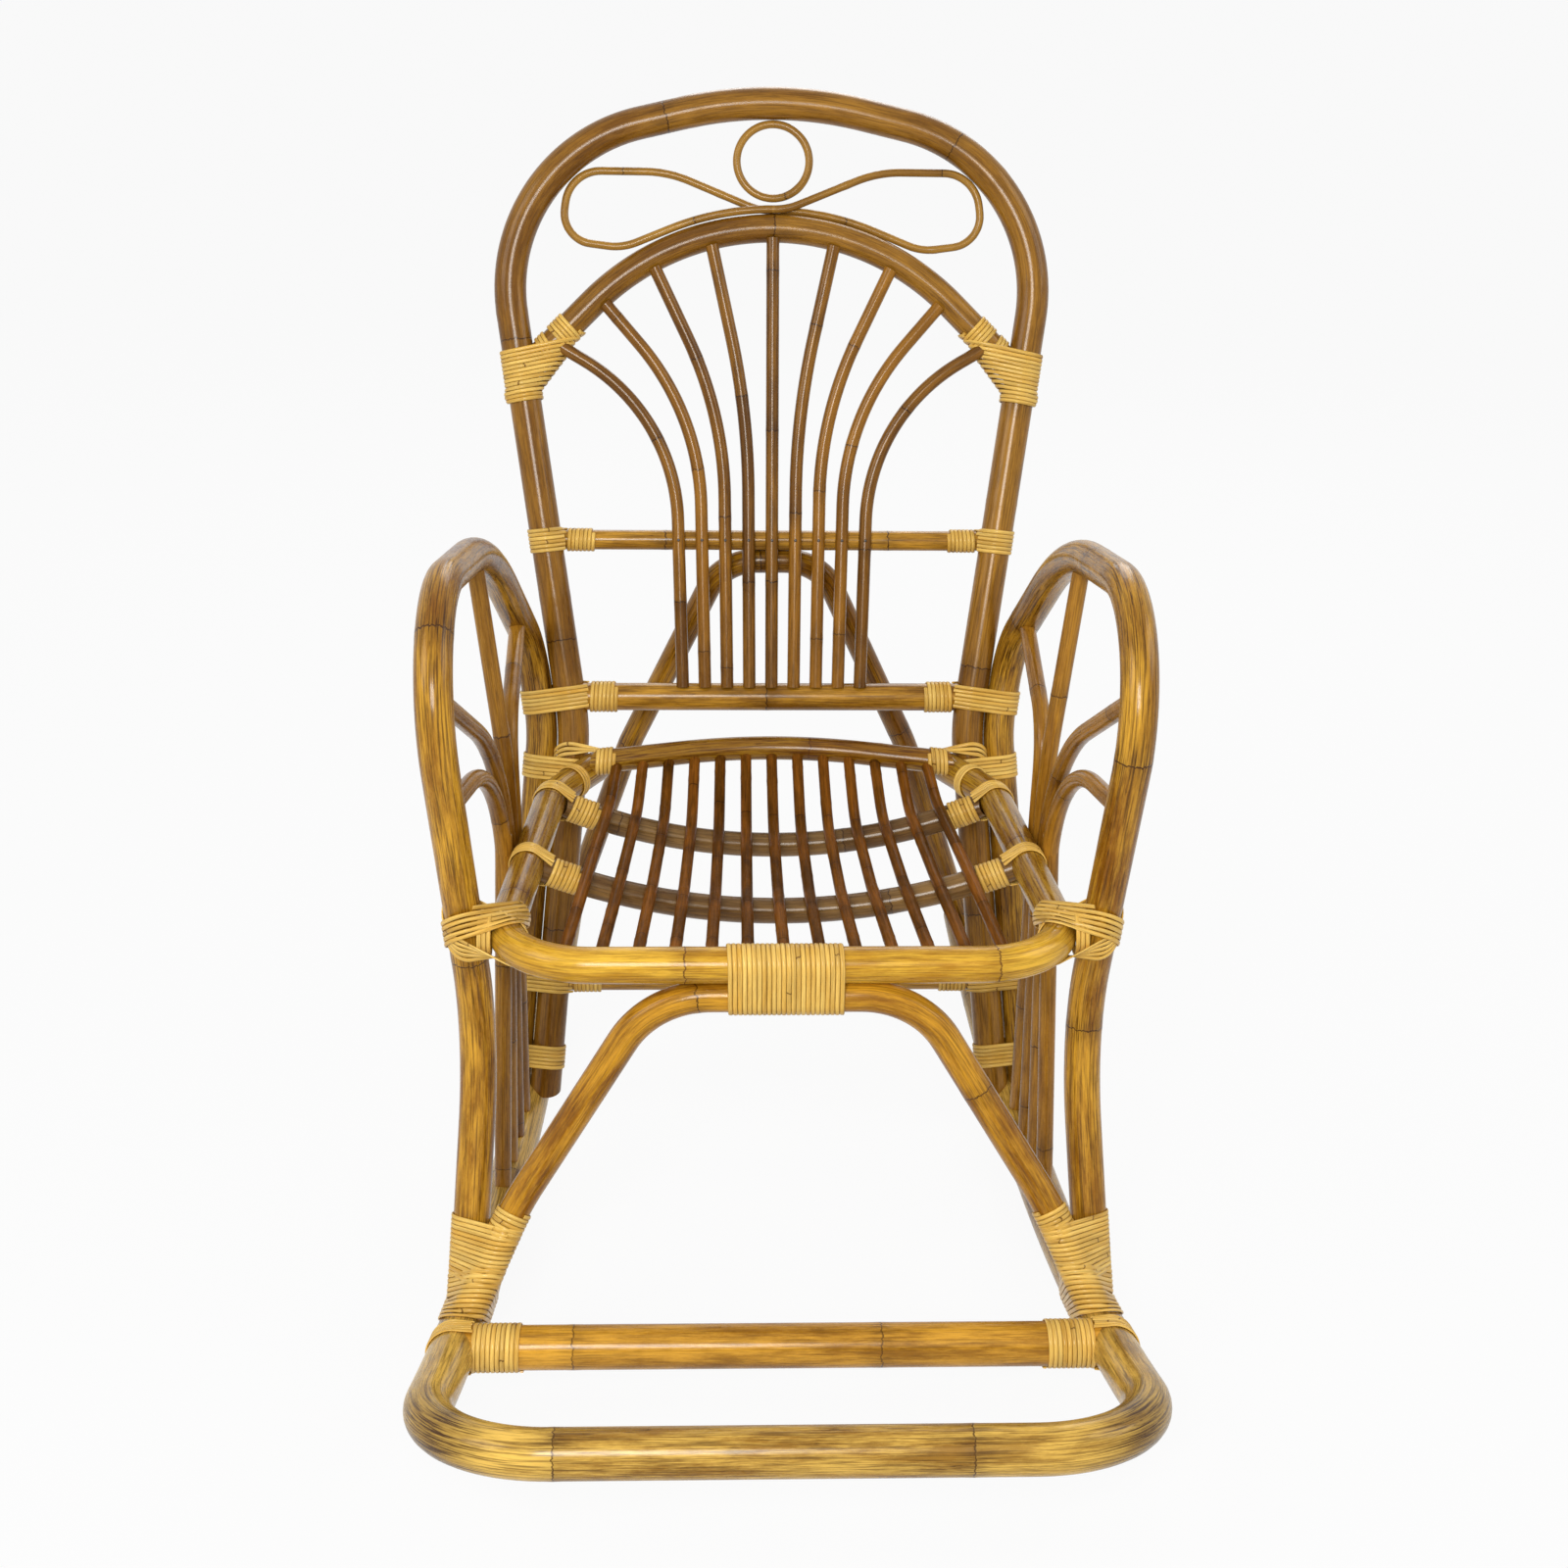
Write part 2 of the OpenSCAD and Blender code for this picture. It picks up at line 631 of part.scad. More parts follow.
module seat_slat(i) color("maroon") in_seat() {
  k = 2 * i / (slat_count - 1) - 1;
  rear = rail_point(k * slat_rear_x);
  xr = slat_x(k, cross_rear_y);
  xf = slat_x(k, cross_front_y);
  wound = abs(k * slat_front_x) < (front_turns * front_pitch + strand_w + slat_d) / 2 + 1;
  clear = fit + (wound ? wind_gap + strand_t : 0);
  difference() {
    pole([
      rear - [0, 0, 1.5],
      [xr, cross_rear_y, bow_z(xr, side_x(cross_rear_y), slat_out)],
      [xf, cross_front_y, bow_z(xf, side_x(cross_front_y), slat_out)],
      [k * slat_front_x, 0, -4]
    ], [slat_bend_r, slat_bend_r], slat_d);
    seat_rail_pole(seat_rail_d + 2 * fit);
    rod([-seat_x, 0, 0], [seat_x, 0, 0], seat_d + 2 * clear);
    if (abs(k) == 1) both_sides() front_corner(seat_d + 2 * fit);
  }
}

// Side hoops: front leg, arm and tail in one pole

leg_foot_y = front_bar_y + leg_y;
leg_foot = rock_at(leg_foot_y);
arm_front_y = leg_foot_y + 27;
// The leg passes the seat this far along its run up to the arm, and here
pass_share = (seat_z - leg_bow_z) / (arm_front_z - leg_bow_z);
leg_pass_y = mix(leg_foot_y + leg_bow, arm_front_y, pass_share);
leg_x = side_x(leg_pass_y - seat_front_y) + (seat_d + pole_d) / 2 + touch;
arm_x = leg_x + arm_flare;
leg_bow_x = (leg_x - pass_share * arm_x) / (1 - pass_share);
leg_bow_p = [leg_bow_x, leg_foot_y + leg_bow, leg_bow_z];
arm_front = [arm_x, arm_front_y, arm_front_z];
// The tail runs down beside the back post and bends with it
tail_out = [pole_d + touch, 3, 0];
tail_top = to_back(post_at(tail_s) + tail_out);
tail_waist = to_back(waist + tail_out);
tail_foot = to_back(foot + tail_out);
arm_rear = [mix(arm_x, tail_top[0], 0.42), arm_front_y + arm_l, arm_rear_z];
hoop_points = [leg_foot, leg_bow_p, arm_front, arm_rear, tail_top, tail_waist, tail_foot];
hoop_radii = [leg_bow_r, arm_front_r, arm_rear_r, tail_r, waist_r - tail_out[0]];

module hoop_pole(d) pole(hoop_points, hoop_radii, d);

module side_hoop() {
  difference() {
    hoop_pole(pole_d);
    rocker_cut(leg_foot_y, base_d + 2 * fit);
    rocker_cut(tail_foot[1], base_d + 2 * fit);
  }
}

module left_side_hoop() color("peru") mirror([1, 0, 0]) side_hoop();
module right_side_hoop() color("peru") side_hoop();

// Spindles under the arm, numbered from the front: they stand on the rocker, draw together
// where they pass outside the seat frame, and fan out to the hoop
side_spindle_y = back_y - side_spindle_out - 3 * side_spindle_step;
side_pass_y = side_spindle_y + side_pass_in;
side_knee_z = [482, 468, 450, 476];
side_knee_r = [125, 190, 500, 58];
leg_top_dir = unit(arm_front - leg_bow_p);
fan_ends = [
  mix(leg_bow_p, arm_front, 0.55),
  bend_point(leg_bow_p, arm_front, arm_rear, arm_front_r, 0.32),
  bend_point(arm_front, arm_rear, tail_top, arm_rear_r, 0.2),
  mix(arm_rear, tail_top, 0.72)
];

// The stretch of the hoop that spindle i meets
module hoop_stretch(i, d) {
  if (i == 0) rod(leg_bow_p, arm_front, d);
  if (i == 1) bend(arm_front, leg_top_dir, unit(arm_rear - arm_front), arm_front_r, d);
  if (i == 2) bend(arm_rear, unit(arm_rear - arm_front), unit(tail_top - arm_rear), arm_rear_r, d);
  if (i == 3) rod(arm_rear, tail_top, d);
}

module side_spindle(i) {
  y = side_spindle_y + i * side_spindle_step;
  pass_y = side_pass_y + i * side_pass_step;
  pass_x = side_x(pass_y - seat_front_y) + (seat_d + side_spindle_d) / 2 + touch;
  pass = [pass_x, pass_y, seat_z];
  knee = [pass_x + 2, pass_y + 2, side_knee_z[i]];
  difference() {
    pole([rock_at(y), pass, knee, fan_ends[i]], [side_bend_r, side_knee_r[i]], side_spindle_d);
    rocker_cut(y, base_d + 2 * fit);
    hoop_stretch(i, pole_d + 2 * fit);
  }
}

module left_side_spindle(i) color("darkgoldenrod") mirror([1, 0, 0]) side_spindle(i);
module right_side_spindle(i) color("darkgoldenrod") side_spindle(i);

// Front brace: flat under the front rail, with its feet on the rockers in front of the legs

brace_z = seat_z - (seat_d + brace_d) / 2 - fit;
brace_foot_y = leg_foot_y - (pole_d + brace_d) / 2 - touch;
brace_foot = rock_at(brace_foot_y);
brace_knee = [brace_x + brace_knee_out, seat_front_y - 2, brace_knee_z];
brace_top = [brace_x, seat_front_y, brace_z];

module brace_pole(d)
  pole(mirrored([brace_foot, brace_knee, brace_top]), [brace_knee_r, brace_r, brace_r, brace_knee_r], d);

module front_brace() color("peru") {
  difference() {
    brace_pole(brace_d);
    both_sides() rocker_cut(brace_foot_y, base_d + 2 * fit);
  }
}

// Rear brace: its top is behind the back and its feet are on the rear ends of the rockers

prop_y = back_y + prop_z * tan(recline) + (spindle_d / 2 + prop_d / 2) / cos(recline);
prop_foot_y = base_end_y - prop_end_in;
prop_foot = rock_at(prop_foot_y);
prop_top = [prop_x, prop_y, prop_z];
prop_knee = [prop_knee_x, mix(prop_y, prop_foot_y, (prop_z - prop_knee_z) / (prop_z - prop_foot[2])), prop_knee_z];

module rear_brace() color("saddlebrown") {
  difference() {
    pole(mirrored([prop_foot, prop_knee, prop_top]), [prop_knee_r, prop_r, prop_r, prop_knee_r], prop_d);
    both_sides() rocker_cut(prop_foot_y, base_d + 2 * fit, 29);
  }
}

module rear_stretcher() color("saddlebrown") in_back() rail(stretcher_s, 0, stretcher_d);

// Binding in the middle of the front rail: one strand wound round the rail and the brace

wind_gap = 1;
wind_r1 = seat_d / 2 + wind_gap + strand_t / 2;
wind_r2 = brace_d / 2 + wind_gap + strand_t / 2;
wind_drop = seat_z - brace_z;
wind_steps = 7;
wind_rings = 2 * wind_steps;
wind_belt = belt(wind_drop, wind_r1, wind_r2, wind_steps - 1);
wind_count = front_turns * wind_rings;
// Ring i of the winding: its middle and the way it faces, outwards
function wind_at(i) = let (p = wind_belt[i % wind_rings])
  [(i / wind_rings - front_turns / 2) * front_pitch, p[1], -p[0]];
function wind_out(i) = let (p = wind_belt[i % wind_rings], mid = i % wind_rings < wind_steps ? 0 : wind_drop)
  unit([0, p[1], -(p[0] - mid)]);
function strand_ring(i) = [for (j = [0:5]) wind_at(i)
  + [strand_w / 2 * cos(60 * j), 0, 0] + wind_out(i) * strand_t / 2 * sin(60 * j)];
wind_points = [for (i = [0:wind_count]) each strand_ring(i)];
function wall_faces(i, j) = let (a = 6 * i + j, b = 6 * i + (j + 1) % 6) [[a, a + 6, b], [b, a + 6, b + 6]];
wind_faces = concat(
  [for (j = [1:4]) [0, j, j + 1]],
  [for (i = [0:wind_count - 1]) for (j = [0:5]) each wall_faces(i, j)],
  [for (j = [1:4], base = [6 * wind_count]) [base, base + j + 1, base + j]]
);
// Neighbouring turns lie one pitch apart along the rail
wind_self_gap = min([for (i = [0:wind_count - wind_rings])
  norm(wind_at(i + wind_rings) - wind_at(i))]) - strand_w;
echo(least_gap_between_turns = wind_self_gap);

module front_wrap() color("wheat")
  translate([0, seat_front_y, seat_z]) polyhedron(points = wind_points, faces = wind_faces);

// Plain bindings

arch_join = post_at(arch_end[2]);

module arch_wraps() color("wheat") in_back() both_sides() {
  far = arch_end + arch_dir * 62;
  difference() {
    union() {
      rod(arch_end, far, arch_d + 2 * (fit + wrap_t));
      rod(arch_join - post_dir * 34, arch_join + post_dir * 26, pole_d + 2 * (fit + wrap_t));
    }
    bore(arch_join - post_dir * 60, arch_join + post_dir * 60, pole_d + 2 * fit);
    bore(arch_end, far, arch_d + 2 * fit);
    rod(spindle_bend(4), spindle_top(4), spindle_d + 2 * fit);
  }
}

// Binding where a rail ends at a post: a sleeve on the rail and a strap round the post
module rail_wrap(p, dir, d, n) {
  start = p + [0, n, 0];
  inner = start - [pole_d / 2 + wrap_l, 0, 0];
  difference() {
    union() {
      rod(inner, start, d + 2 * (fit + wrap_t));
      rod(p - dir * strap_w / 2, p + dir * strap_w / 2, pole_d + 2 * (fit + wrap_t));
    }
    bore(p - dir * 60, p + dir * 60, pole_d + 2 * fit);
    bore(inner, start, d + 2 * fit);
  }
}

// Lower down, the tail of the side hoop lies beside the post and the binding goes round both
module low_rail_wrap(p, dir, d) {
  inner = p - [pole_d / 2 + wrap_l, 0, 0];
  difference() {
    union() {
      strap_body(p, p + tail_out, pole_d, pole_d, dir, strap_w);
      rod(inner, p, d + 2 * (fit + wrap_t));
    }
    strap_bores(p, p + tail_out, pole_d, pole_d, dir, strap_w);
    bore(inner, p, d + 2 * fit);
  }
}

module upper_rail_wraps() color("wheat") in_back() both_sides()
  rail_wrap(post_at(up_rail_s), post_dir, up_rail_d, up_rail_n);
module lower_rail_wraps() color("wheat") in_back() both_sides()
  low_rail_wrap(post_at(low_rail_s), post_dir, low_rail_d);
module stretcher_wraps() color("wheat") in_back() both_sides()
  low_rail_wrap(post_at(stretcher_s), low_post_dir, stretcher_d);

// Cane holds the rear corner of the seat, the post and the tail together
lash_s = (seat_z - (seat_end[1] + 10) * sin(seat_tilt)) / cos(recline) - 8;

module seat_rear_lashings() color("wheat") both_sides() {
  p = post_at(lash_s);
  a = to_seat(mix(seat_rear, seat_end, 0.4));
  b = to_seat(mix(seat_rear, seat_end, 0.54));
  difference() {
    in_back() strap_body(p, p + tail_out, pole_d, pole_d, low_post_dir, strap_w);
    in_back() strap_bores(p, p + tail_out, pole_d, pole_d, low_post_dir, strap_w);
    in_seat() rod(seat_rear, mix(seat_rear, seat_end, 1.1), seat_d + 2 * fit);
  }
  difference() {
    rod(a, b, seat_d + 2 * (fit + wrap_t));
    bore(a, b, seat_d + 2 * fit);
  }
}

// Crossed poles lashed together at the front corners of the seat
module seat_front_lashings() color("wheat") both_sides() {
  touch_y = leg_pass_y - seat_front_y;
  start = seat_corner_r * tan((90 + seat_taper) / 2) + 4;
  a = to_seat([side_x(start), start, 0]);
  b = to_seat([side_x(touch_y + 34), touch_y + 34, 0]);
  pass = mix(leg_bow_p, arm_front, pass_share) - leg_top_dir * 10;
  difference() {
    union() {
      rod(a, b, seat_d + 2 * (fit + wrap_t));
      rod(pass - leg_top_dir * 18, pass + leg_top_dir * 18, pole_d + 2 * (fit + wrap_t));
    }
    bore(a - unit(b - a) * 14, b + unit(b - a) * 30, seat_d + 2 * fit);
    bore(pass - leg_top_dir * 60, pass + leg_top_dir * 60, pole_d + 2 * fit);
  }
}

// Binding on the end of a cross bar, and a narrow strap round the seat frame there
module cross_bar_wrap(y) {
  half = side_x(y);
  r = bow_r(half);
  end_a = asin(half / r);
  span = (wrap_l + seat_d / 2) / r * 180 / PI;
  difference() {
    union() {
      bow(y, cross_d + 2 * (fit + wrap_t), end_a - span, end_a);
      children(0);
    }
    bow(y, cross_d + 2 * fit, end_a - span - 1, end_a + 1);
    children(1);
  }
}

module cross_bar_wraps() color("wheat") in_seat() both_sides() {
  p = [side_x(cross_front_y), cross_front_y, 0];
  cross_bar_wrap(cross_front_y) {
    rod(p - seat_side_dir * strap_w / 4, p + seat_side_dir * strap_w / 4, seat_d + 2 * (fit + wrap_t));
    rod(p - seat_side_dir * 60, p + seat_side_dir * 60, seat_d + 2 * fit);
  }
  cross_bar_wrap(cross_rear_y) {
    intersection() {
      rear_corner(seat_d + 2 * (fit + wrap_t));
      translate([0, cross_rear_y - strap_w / 4, -50]) cube([300, strap_w / 2, 100]);
    }
    rear_corner(seat_d + 2 * fit);
  }
}

leg_low_dir = unit(leg_bow_p - leg_foot);
brace_dir = unit(brace_knee - brace_foot);

module foot_lashings() color("wheat") both_sides() {
  leg_p = leg_foot + leg_low_dir * 30;
  brace_p = brace_foot + brace_dir * 32;
  difference() {
    union() {
      rod(leg_p, leg_p + leg_low_dir * 60, pole_d + 2 * (fit + wrap_t));
      rod(brace_p, brace_p + brace_dir * 63, brace_d + 2 * (fit + wrap_t));
    }
    bore(leg_foot, leg_p + leg_low_dir * 80, pole_d + 2 * fit);
    bore(brace_foot, brace_p + brace_dir * 80, brace_d + 2 * fit);
  }
}

module base_bar_wraps() color("wheat") both_sides() {
  p = rock_at(bar_y);
  dir = rock_dir(bar_y);
  inner = p - [base_d / 2 + base_wrap_l, 0, 0];
  difference() {
    union() {
      rod(inner, p, base_bar_d + 2 * (fit + wrap_t));
      rod(p - dir * strap_w / 2, p + dir * strap_w / 2, base_d + 2 * (fit + wrap_t));
    }
    bore(p - dir * 60, p + dir * 60, base_d + 2 * fit);
    bore(inner, p, base_bar_d + 2 * fit);
  }
}

module rear_foot_lashings() color("wheat") both_sides() {
  p = post_at(foot_s + 50);
  in_back() difference() {
    strap_body(p, p + tail_out, pole_d, pole_d, low_post_dir, strap_w);
    strap_bores(p, p + tail_out, pole_d, pole_d, low_post_dir, strap_w);
  }
}

base_loop();
base_cross_bar();
left_side_hoop();
right_side_hoop();
back_hoop();
back_arch();
back_scroll_ring();
back_scroll_lobes();
back_upper_rail();
back_lower_rail();
for (i = [0:8]) back_spindle(i);
seat_frame();
seat_back_rail();
seat_cross_bar_front();
seat_cross_bar_rear();
for (i = [0:slat_count - 1]) seat_slat(i);
front_brace();
rear_brace();
rear_stretcher();
for (i = [0:3]) left_side_spindle(i);
for (i = [0:3]) right_side_spindle(i);
front_wrap();
arch_wraps();
upper_rail_wraps();
lower_rail_wraps();
seat_rear_lashings();
seat_front_lashings();
cross_bar_wraps();
foot_lashings();
base_bar_wraps();
stretcher_wraps();
rear_foot_lashings();
nails();
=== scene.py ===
# %% [markdown]
# # A rattan rocking chair
# The chair is bent and bound, not sawn. Steamed cane poles make the frame, nails hold
# them, and strips of peeled cane cover every joint. The CAD model gives each solid its
# size and place. This file gives each one its looks: round poles with growth rings,
# streaked grain and varnish, and bindings made of single strands. The CAD model's own
# box is kept first.

# %% Load the CAD model
from math import acos, asin, atan, ceil, cos, pi, radians, sin, sqrt, tan

import bpy
import numpy as np
from mathutils import Matrix, Vector
from numpy.linalg import norm


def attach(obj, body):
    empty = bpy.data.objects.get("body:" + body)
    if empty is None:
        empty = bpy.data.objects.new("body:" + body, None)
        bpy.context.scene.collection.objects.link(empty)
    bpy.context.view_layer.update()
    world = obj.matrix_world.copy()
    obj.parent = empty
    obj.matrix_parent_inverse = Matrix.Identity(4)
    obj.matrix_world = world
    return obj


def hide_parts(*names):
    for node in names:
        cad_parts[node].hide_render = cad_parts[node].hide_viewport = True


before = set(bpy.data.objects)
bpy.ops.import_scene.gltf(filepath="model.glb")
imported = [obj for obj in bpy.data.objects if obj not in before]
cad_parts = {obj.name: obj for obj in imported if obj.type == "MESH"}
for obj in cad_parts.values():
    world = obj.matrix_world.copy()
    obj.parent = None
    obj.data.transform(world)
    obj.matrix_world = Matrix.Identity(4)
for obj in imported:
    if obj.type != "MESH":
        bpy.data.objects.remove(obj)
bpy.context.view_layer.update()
print("CAD nodes:", len(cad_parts))

# %% [markdown]
# ## Camera
# The photograph was taken from a little above the back's top, looking down at the seat.
# A camera matrix holds three directions: right, up and backwards. Building them from the
# angles of the lens keeps every number readable.

# %% The camera of the photograph
def new_object(name, data):
    thing = bpy.data.objects.new(name, data)
    bpy.context.collection.objects.link(thing)
    return thing


LOOK_DOWN = 0.407
LOOK_RIGHT = 0.037
LEAN = 0.015
IMAGE_SIDE = 1600
FOCAL_PIXELS = 2338.6
SENSOR = 36
CAMERA_PLACE = (-0.0666, -1.8858, 1.2764)

forward = Vector((
    sin(LOOK_RIGHT) * cos(LOOK_DOWN),
    cos(LOOK_RIGHT) * cos(LOOK_DOWN),
    -sin(LOOK_DOWN),
))
level = Vector((cos(LOOK_RIGHT), -sin(LOOK_RIGHT), 0))
above = level.cross(forward)
right = level * cos(LEAN) + above * sin(LEAN)
up = above * cos(LEAN) - level * sin(LEAN)

camera = new_object("camera", bpy.data.cameras.new("camera"))
turned = Matrix((right, up, -forward)).transposed().to_4x4()
camera.matrix_world = Matrix.Translation(CAMERA_PLACE) @ turned
camera.data.sensor_width = SENSOR
camera.data.lens = SENSOR * FOCAL_PIXELS / IMAGE_SIDE
bpy.context.scene.camera = camera
print("lens:", round(camera.data.lens, 2), "mm")

# %% [markdown]
# ## Nodes
# Light, shapes and finishes are all made with nodes. One helper links each socket of a
# node or gives it a value, so that a tree reads as a list of steps. Another starts a node
# group, where a word names a socket's kind and a number is a starting value.

# %% Helpers for node trees
def fill(tree, node, inputs):
    for key, value in inputs.items():
        if isinstance(value, bpy.types.NodeSocket):
            tree.links.new(value, node.inputs[key])
        else:
            node.inputs[key].default_value = value
    return node.outputs


def add_node(tree, kind, inputs, **options):
    node = tree.nodes.new(kind)
    for name, value in options.items():
        setattr(node, name, value)
    return fill(tree, node, inputs)


def math_node(tree, operation, *values):
    return add_node(tree, "ShaderNodeMath", dict(enumerate(values)), operation=operation)[0]


def remap(tree, value, low, high, to_low=0.0, to_high=1.0):
    sockets = {"Value": value, "From Min": low, "From Max": high, "To Min": to_low, "To Max": to_high}
    return add_node(tree, "ShaderNodeMapRange", sockets, interpolation_type="SMOOTHSTEP")[0]


def new_group(kind, name, inputs, outputs):
    tree = bpy.data.node_groups.new(name, kind)
    for way, sockets in (("INPUT", inputs), ("OUTPUT", outputs)):
        for label, value in sockets.items():
            sort = {float: "Float", int: "Int"}.get(type(value), value)
            socket = tree.interface.new_socket(label, in_out=way, socket_type="NodeSocket" + sort)
            if value != sort:
                socket.default_value = value
    return tree, tree.nodes.new("NodeGroupInput").outputs


def new_material(name):
    material = bpy.data.materials.new(name)
    material.use_nodes = True
    return material, material.node_tree, material.node_tree.nodes["Principled BSDF"]


print("kinds of math nodes at hand:", len(bpy.types.ShaderNodeMath.bl_rna.properties["operation"].enum_items))

# %% [markdown]
# ## Light and floor
# The photograph shows long white streaks on the varnish, from a lamp close to the lens.
# A lamp of moderate size near the camera gives such streaks, and three broad ones keep the
# shadows soft. The floor and the world are white only as the camera and reflections see
# them, so they add no more light to the chair.

# %% Light and floor
for name, place, aim_z, size, power in (
    ("lamp_at_camera", (-0.3, -2.3, 1.75), 0.45, 0.8, 50),
    ("lamp_left", (-2.4, -1.2, 2.3), 0.4, 1.6, 28),
    ("lamp_right", (2.4, -0.2, 2.1), 0.4, 1.6, 20),
    ("lamp_behind", (0.4, 2.6, 2.2), 0.5, 1.6, 26),
):
    lamp = new_object(name, bpy.data.lights.new(name, "AREA"))
    lamp.data.size, lamp.data.energy = size, power
    lamp.location = place
    aim = Vector((0, 0, aim_z)) - Vector(place)
    lamp.rotation_euler = aim.to_track_quat("-Z", "Y").to_euler()


def white_to_the_eye(tree, surface, output, kind, share=1.0):
    path = tree.nodes.new("ShaderNodeLightPath").outputs
    seen = math_node(tree, "MAXIMUM", path["Is Camera Ray"], path["Is Glossy Ray"])
    seen_through = math_node(tree, "MAXIMUM", seen, path["Is Transmission Ray"])
    part = math_node(tree, "MULTIPLY", seen_through, share)
    white = add_node(tree, kind, {"Color": (1, 1, 1, 1)})[0]
    both_looks = add_node(tree, "ShaderNodeMixShader", {0: part, 1: surface, 2: white})[0]
    fill(tree, tree.nodes[output], {"Surface": both_looks})


world = bpy.data.worlds.new("studio")
world.use_nodes = True
bpy.context.scene.world = world
sky_tree = world.node_tree
sky = fill(sky_tree, sky_tree.nodes["Background"], {"Color": (1, 1, 1, 1), "Strength": 0.29})[0]
white_to_the_eye(sky_tree, sky, "World Output", "ShaderNodeBackground")

FLOOR_HALF = 30
floor_corners = [(x * FLOOR_HALF, y * FLOOR_HALF, 0) for x, y in ((-1, -1), (1, -1), (1, 1), (-1, 1))]
floor_mesh = bpy.data.meshes.new("floor")
floor_mesh.from_pydata(floor_corners, [], [(0, 1, 2, 3)])
floor = new_object("floor", floor_mesh)
floor_paint, paint_tree, paint = new_material("floor_paint")
grey = fill(paint_tree, paint, {"Base Color": (0.6, 0.6, 0.6, 1), "Roughness": 0.9})[0]
white_to_the_eye(paint_tree, grey, "Material Output", "ShaderNodeEmission", 0.93)
floor_mesh.materials.append(floor_paint)
bpy.context.scene.view_settings.view_transform = "Standard"
print("lamps:", len(bpy.data.lights))

# %% [markdown]
# ## The line of a pole
# A bent pole is straight runs joined by bends of a known radius. Its middle line is
# worked out as points, in millimetres, with the same corners and radii as in the CAD
# source, so a pole drawn along it lies where its solid lies.

# %% Lines with bends
def at(*p):
    return np.array(p, float)


def unit(v):
    return v / norm(v)


def mix(a, b, t):
    return a + (b - a) * t


def flipped(p):
    return p * at(-1, 1, 1)


def mirrored(half):
    return list(half) + [flipped(p) for p in reversed(half)]


def bend(a, b, c, r, shares=None):
    u, v = unit(b - a), unit(c - b)
    turn = acos(np.clip(u @ v, -1, 1))
    centre = b + unit(v - u) * r / cos(turn / 2)
    spoke = b - u * r * tan(turn / 2) - centre
    side = np.cross(unit(np.cross(u, v)), spoke)
    if shares is None:
        shares = np.linspace(0, 1, max(4, ceil(turn * r / 5)) + 1)
    return [centre + spoke * cos(turn * t) + side * sin(turn * t) for t in shares]


def bent(points, radii):
    line = [points[0]]
    for a, b, c, r in zip(points, points[1:], points[2:], radii):
        line += bend(a, b, c, r)
    return np.array(line + [points[-1]])


print("a right-angled bend has", len(bend(at(0, 0, 0), at(90, 0, 0), at(90, 90, 0), 50)), "points")

# %% [markdown]
# ## Where everything lies
# These are the chair's main sizes, in millimetres, and the places that follow from them.
# The rockers are arcs, the back leans, and the seat slopes down to the rear, so the back
# and the seat are laid out flat and then turned.

# %% The base
BASE_LENGTH, BASE_WIDTH, BASE_POLE, BASE_BAR, BAR_BACK = 1020, 588, 40, 38, 209
ROCKER_RADIUS, REST, TOE_IN, BASE_CORNER = 1600, 84, radians(3.6), 102
front_bar_y = -BASE_LENGTH / 2 + BASE_POLE / 2


def rocker_turn(y):
    return asin((y - REST) / cos(TOE_IN) / ROCKER_RADIUS)


def rocker_at(y):
    z = BASE_POLE / 2 + ROCKER_RADIUS * (1 - cos(rocker_turn(y)))
    return at(BASE_WIDTH / 2 - (y - front_bar_y) * tan(TOE_IN), y, z)


def rocker_way(y):
    a = rocker_turn(y)
    return at(-sin(TOE_IN) * cos(a), cos(TOE_IN) * cos(a), sin(a))


rocker_front = front_bar_y + BASE_CORNER + 14
rise = tan(rocker_turn(rocker_front)) * (rocker_front - front_bar_y) / cos(TOE_IN)
front_bar_z = rocker_at(rocker_front)[2] - rise
rocker_line = [rocker_at(y) for y in np.linspace(BASE_LENGTH / 2, rocker_front, 60)]
front_corner = at(BASE_WIDTH / 2, front_bar_y, front_bar_z)
corner_bend = bend(rocker_line[-1], front_corner, flipped(front_corner), BASE_CORNER)
base_line = np.array(mirrored(rocker_line + corner_bend))
bar_y = front_bar_y + BAR_BACK
bar_end = rocker_at(bar_y)
print("front bar", round(front_bar_z), "mm above the floor")

# %% The back
LEAN_BACK, BACK_FOOT, POLE, TOUCH, FIT = radians(17), 176, 32, 0.6, 0.3
WAIST_X, WAIST_S, WAIST_BEND = 201, 415, 230
SHOULDER_X, SHOULDER_S, SHOULDER_BEND, CROWN_RISE, CROWN_BEND = 283, 985, 168, 66, 400
ARCH_POLE, ARCH_TOP, ARCH_BEND = 28, 918, 256
LOW_RAIL, LOW_RAIL_POLE, HIGH_RAIL, HIGH_RAIL_POLE = 447.6, 28, 607, 20
STRETCHER, STRETCHER_POLE = 155, 25


def turned_plane(angle, y, z):
    c, s = cos(angle), sin(angle)

    def place(p):
        return at(p[0], y + p[1] * c + p[2] * s, z + p[2] * c - p[1] * s)

    return place


lean = turned_plane(LEAN_BACK, BACK_FOOT, 0)


def leaned(points):
    return [lean(p) for p in points]


post_y = BACK_FOOT + 50 * sin(LEAN_BACK)
foot = at(rocker_at(post_y)[0] - (POLE + TOUCH) / 2, 0, rocker_at(post_y)[2] / cos(LEAN_BACK))
waist = at(WAIST_X, 0, WAIST_S)
shoulder = at(SHOULDER_X, 0, SHOULDER_S)
crown = at(0, 0, SHOULDER_S + CROWN_RISE)


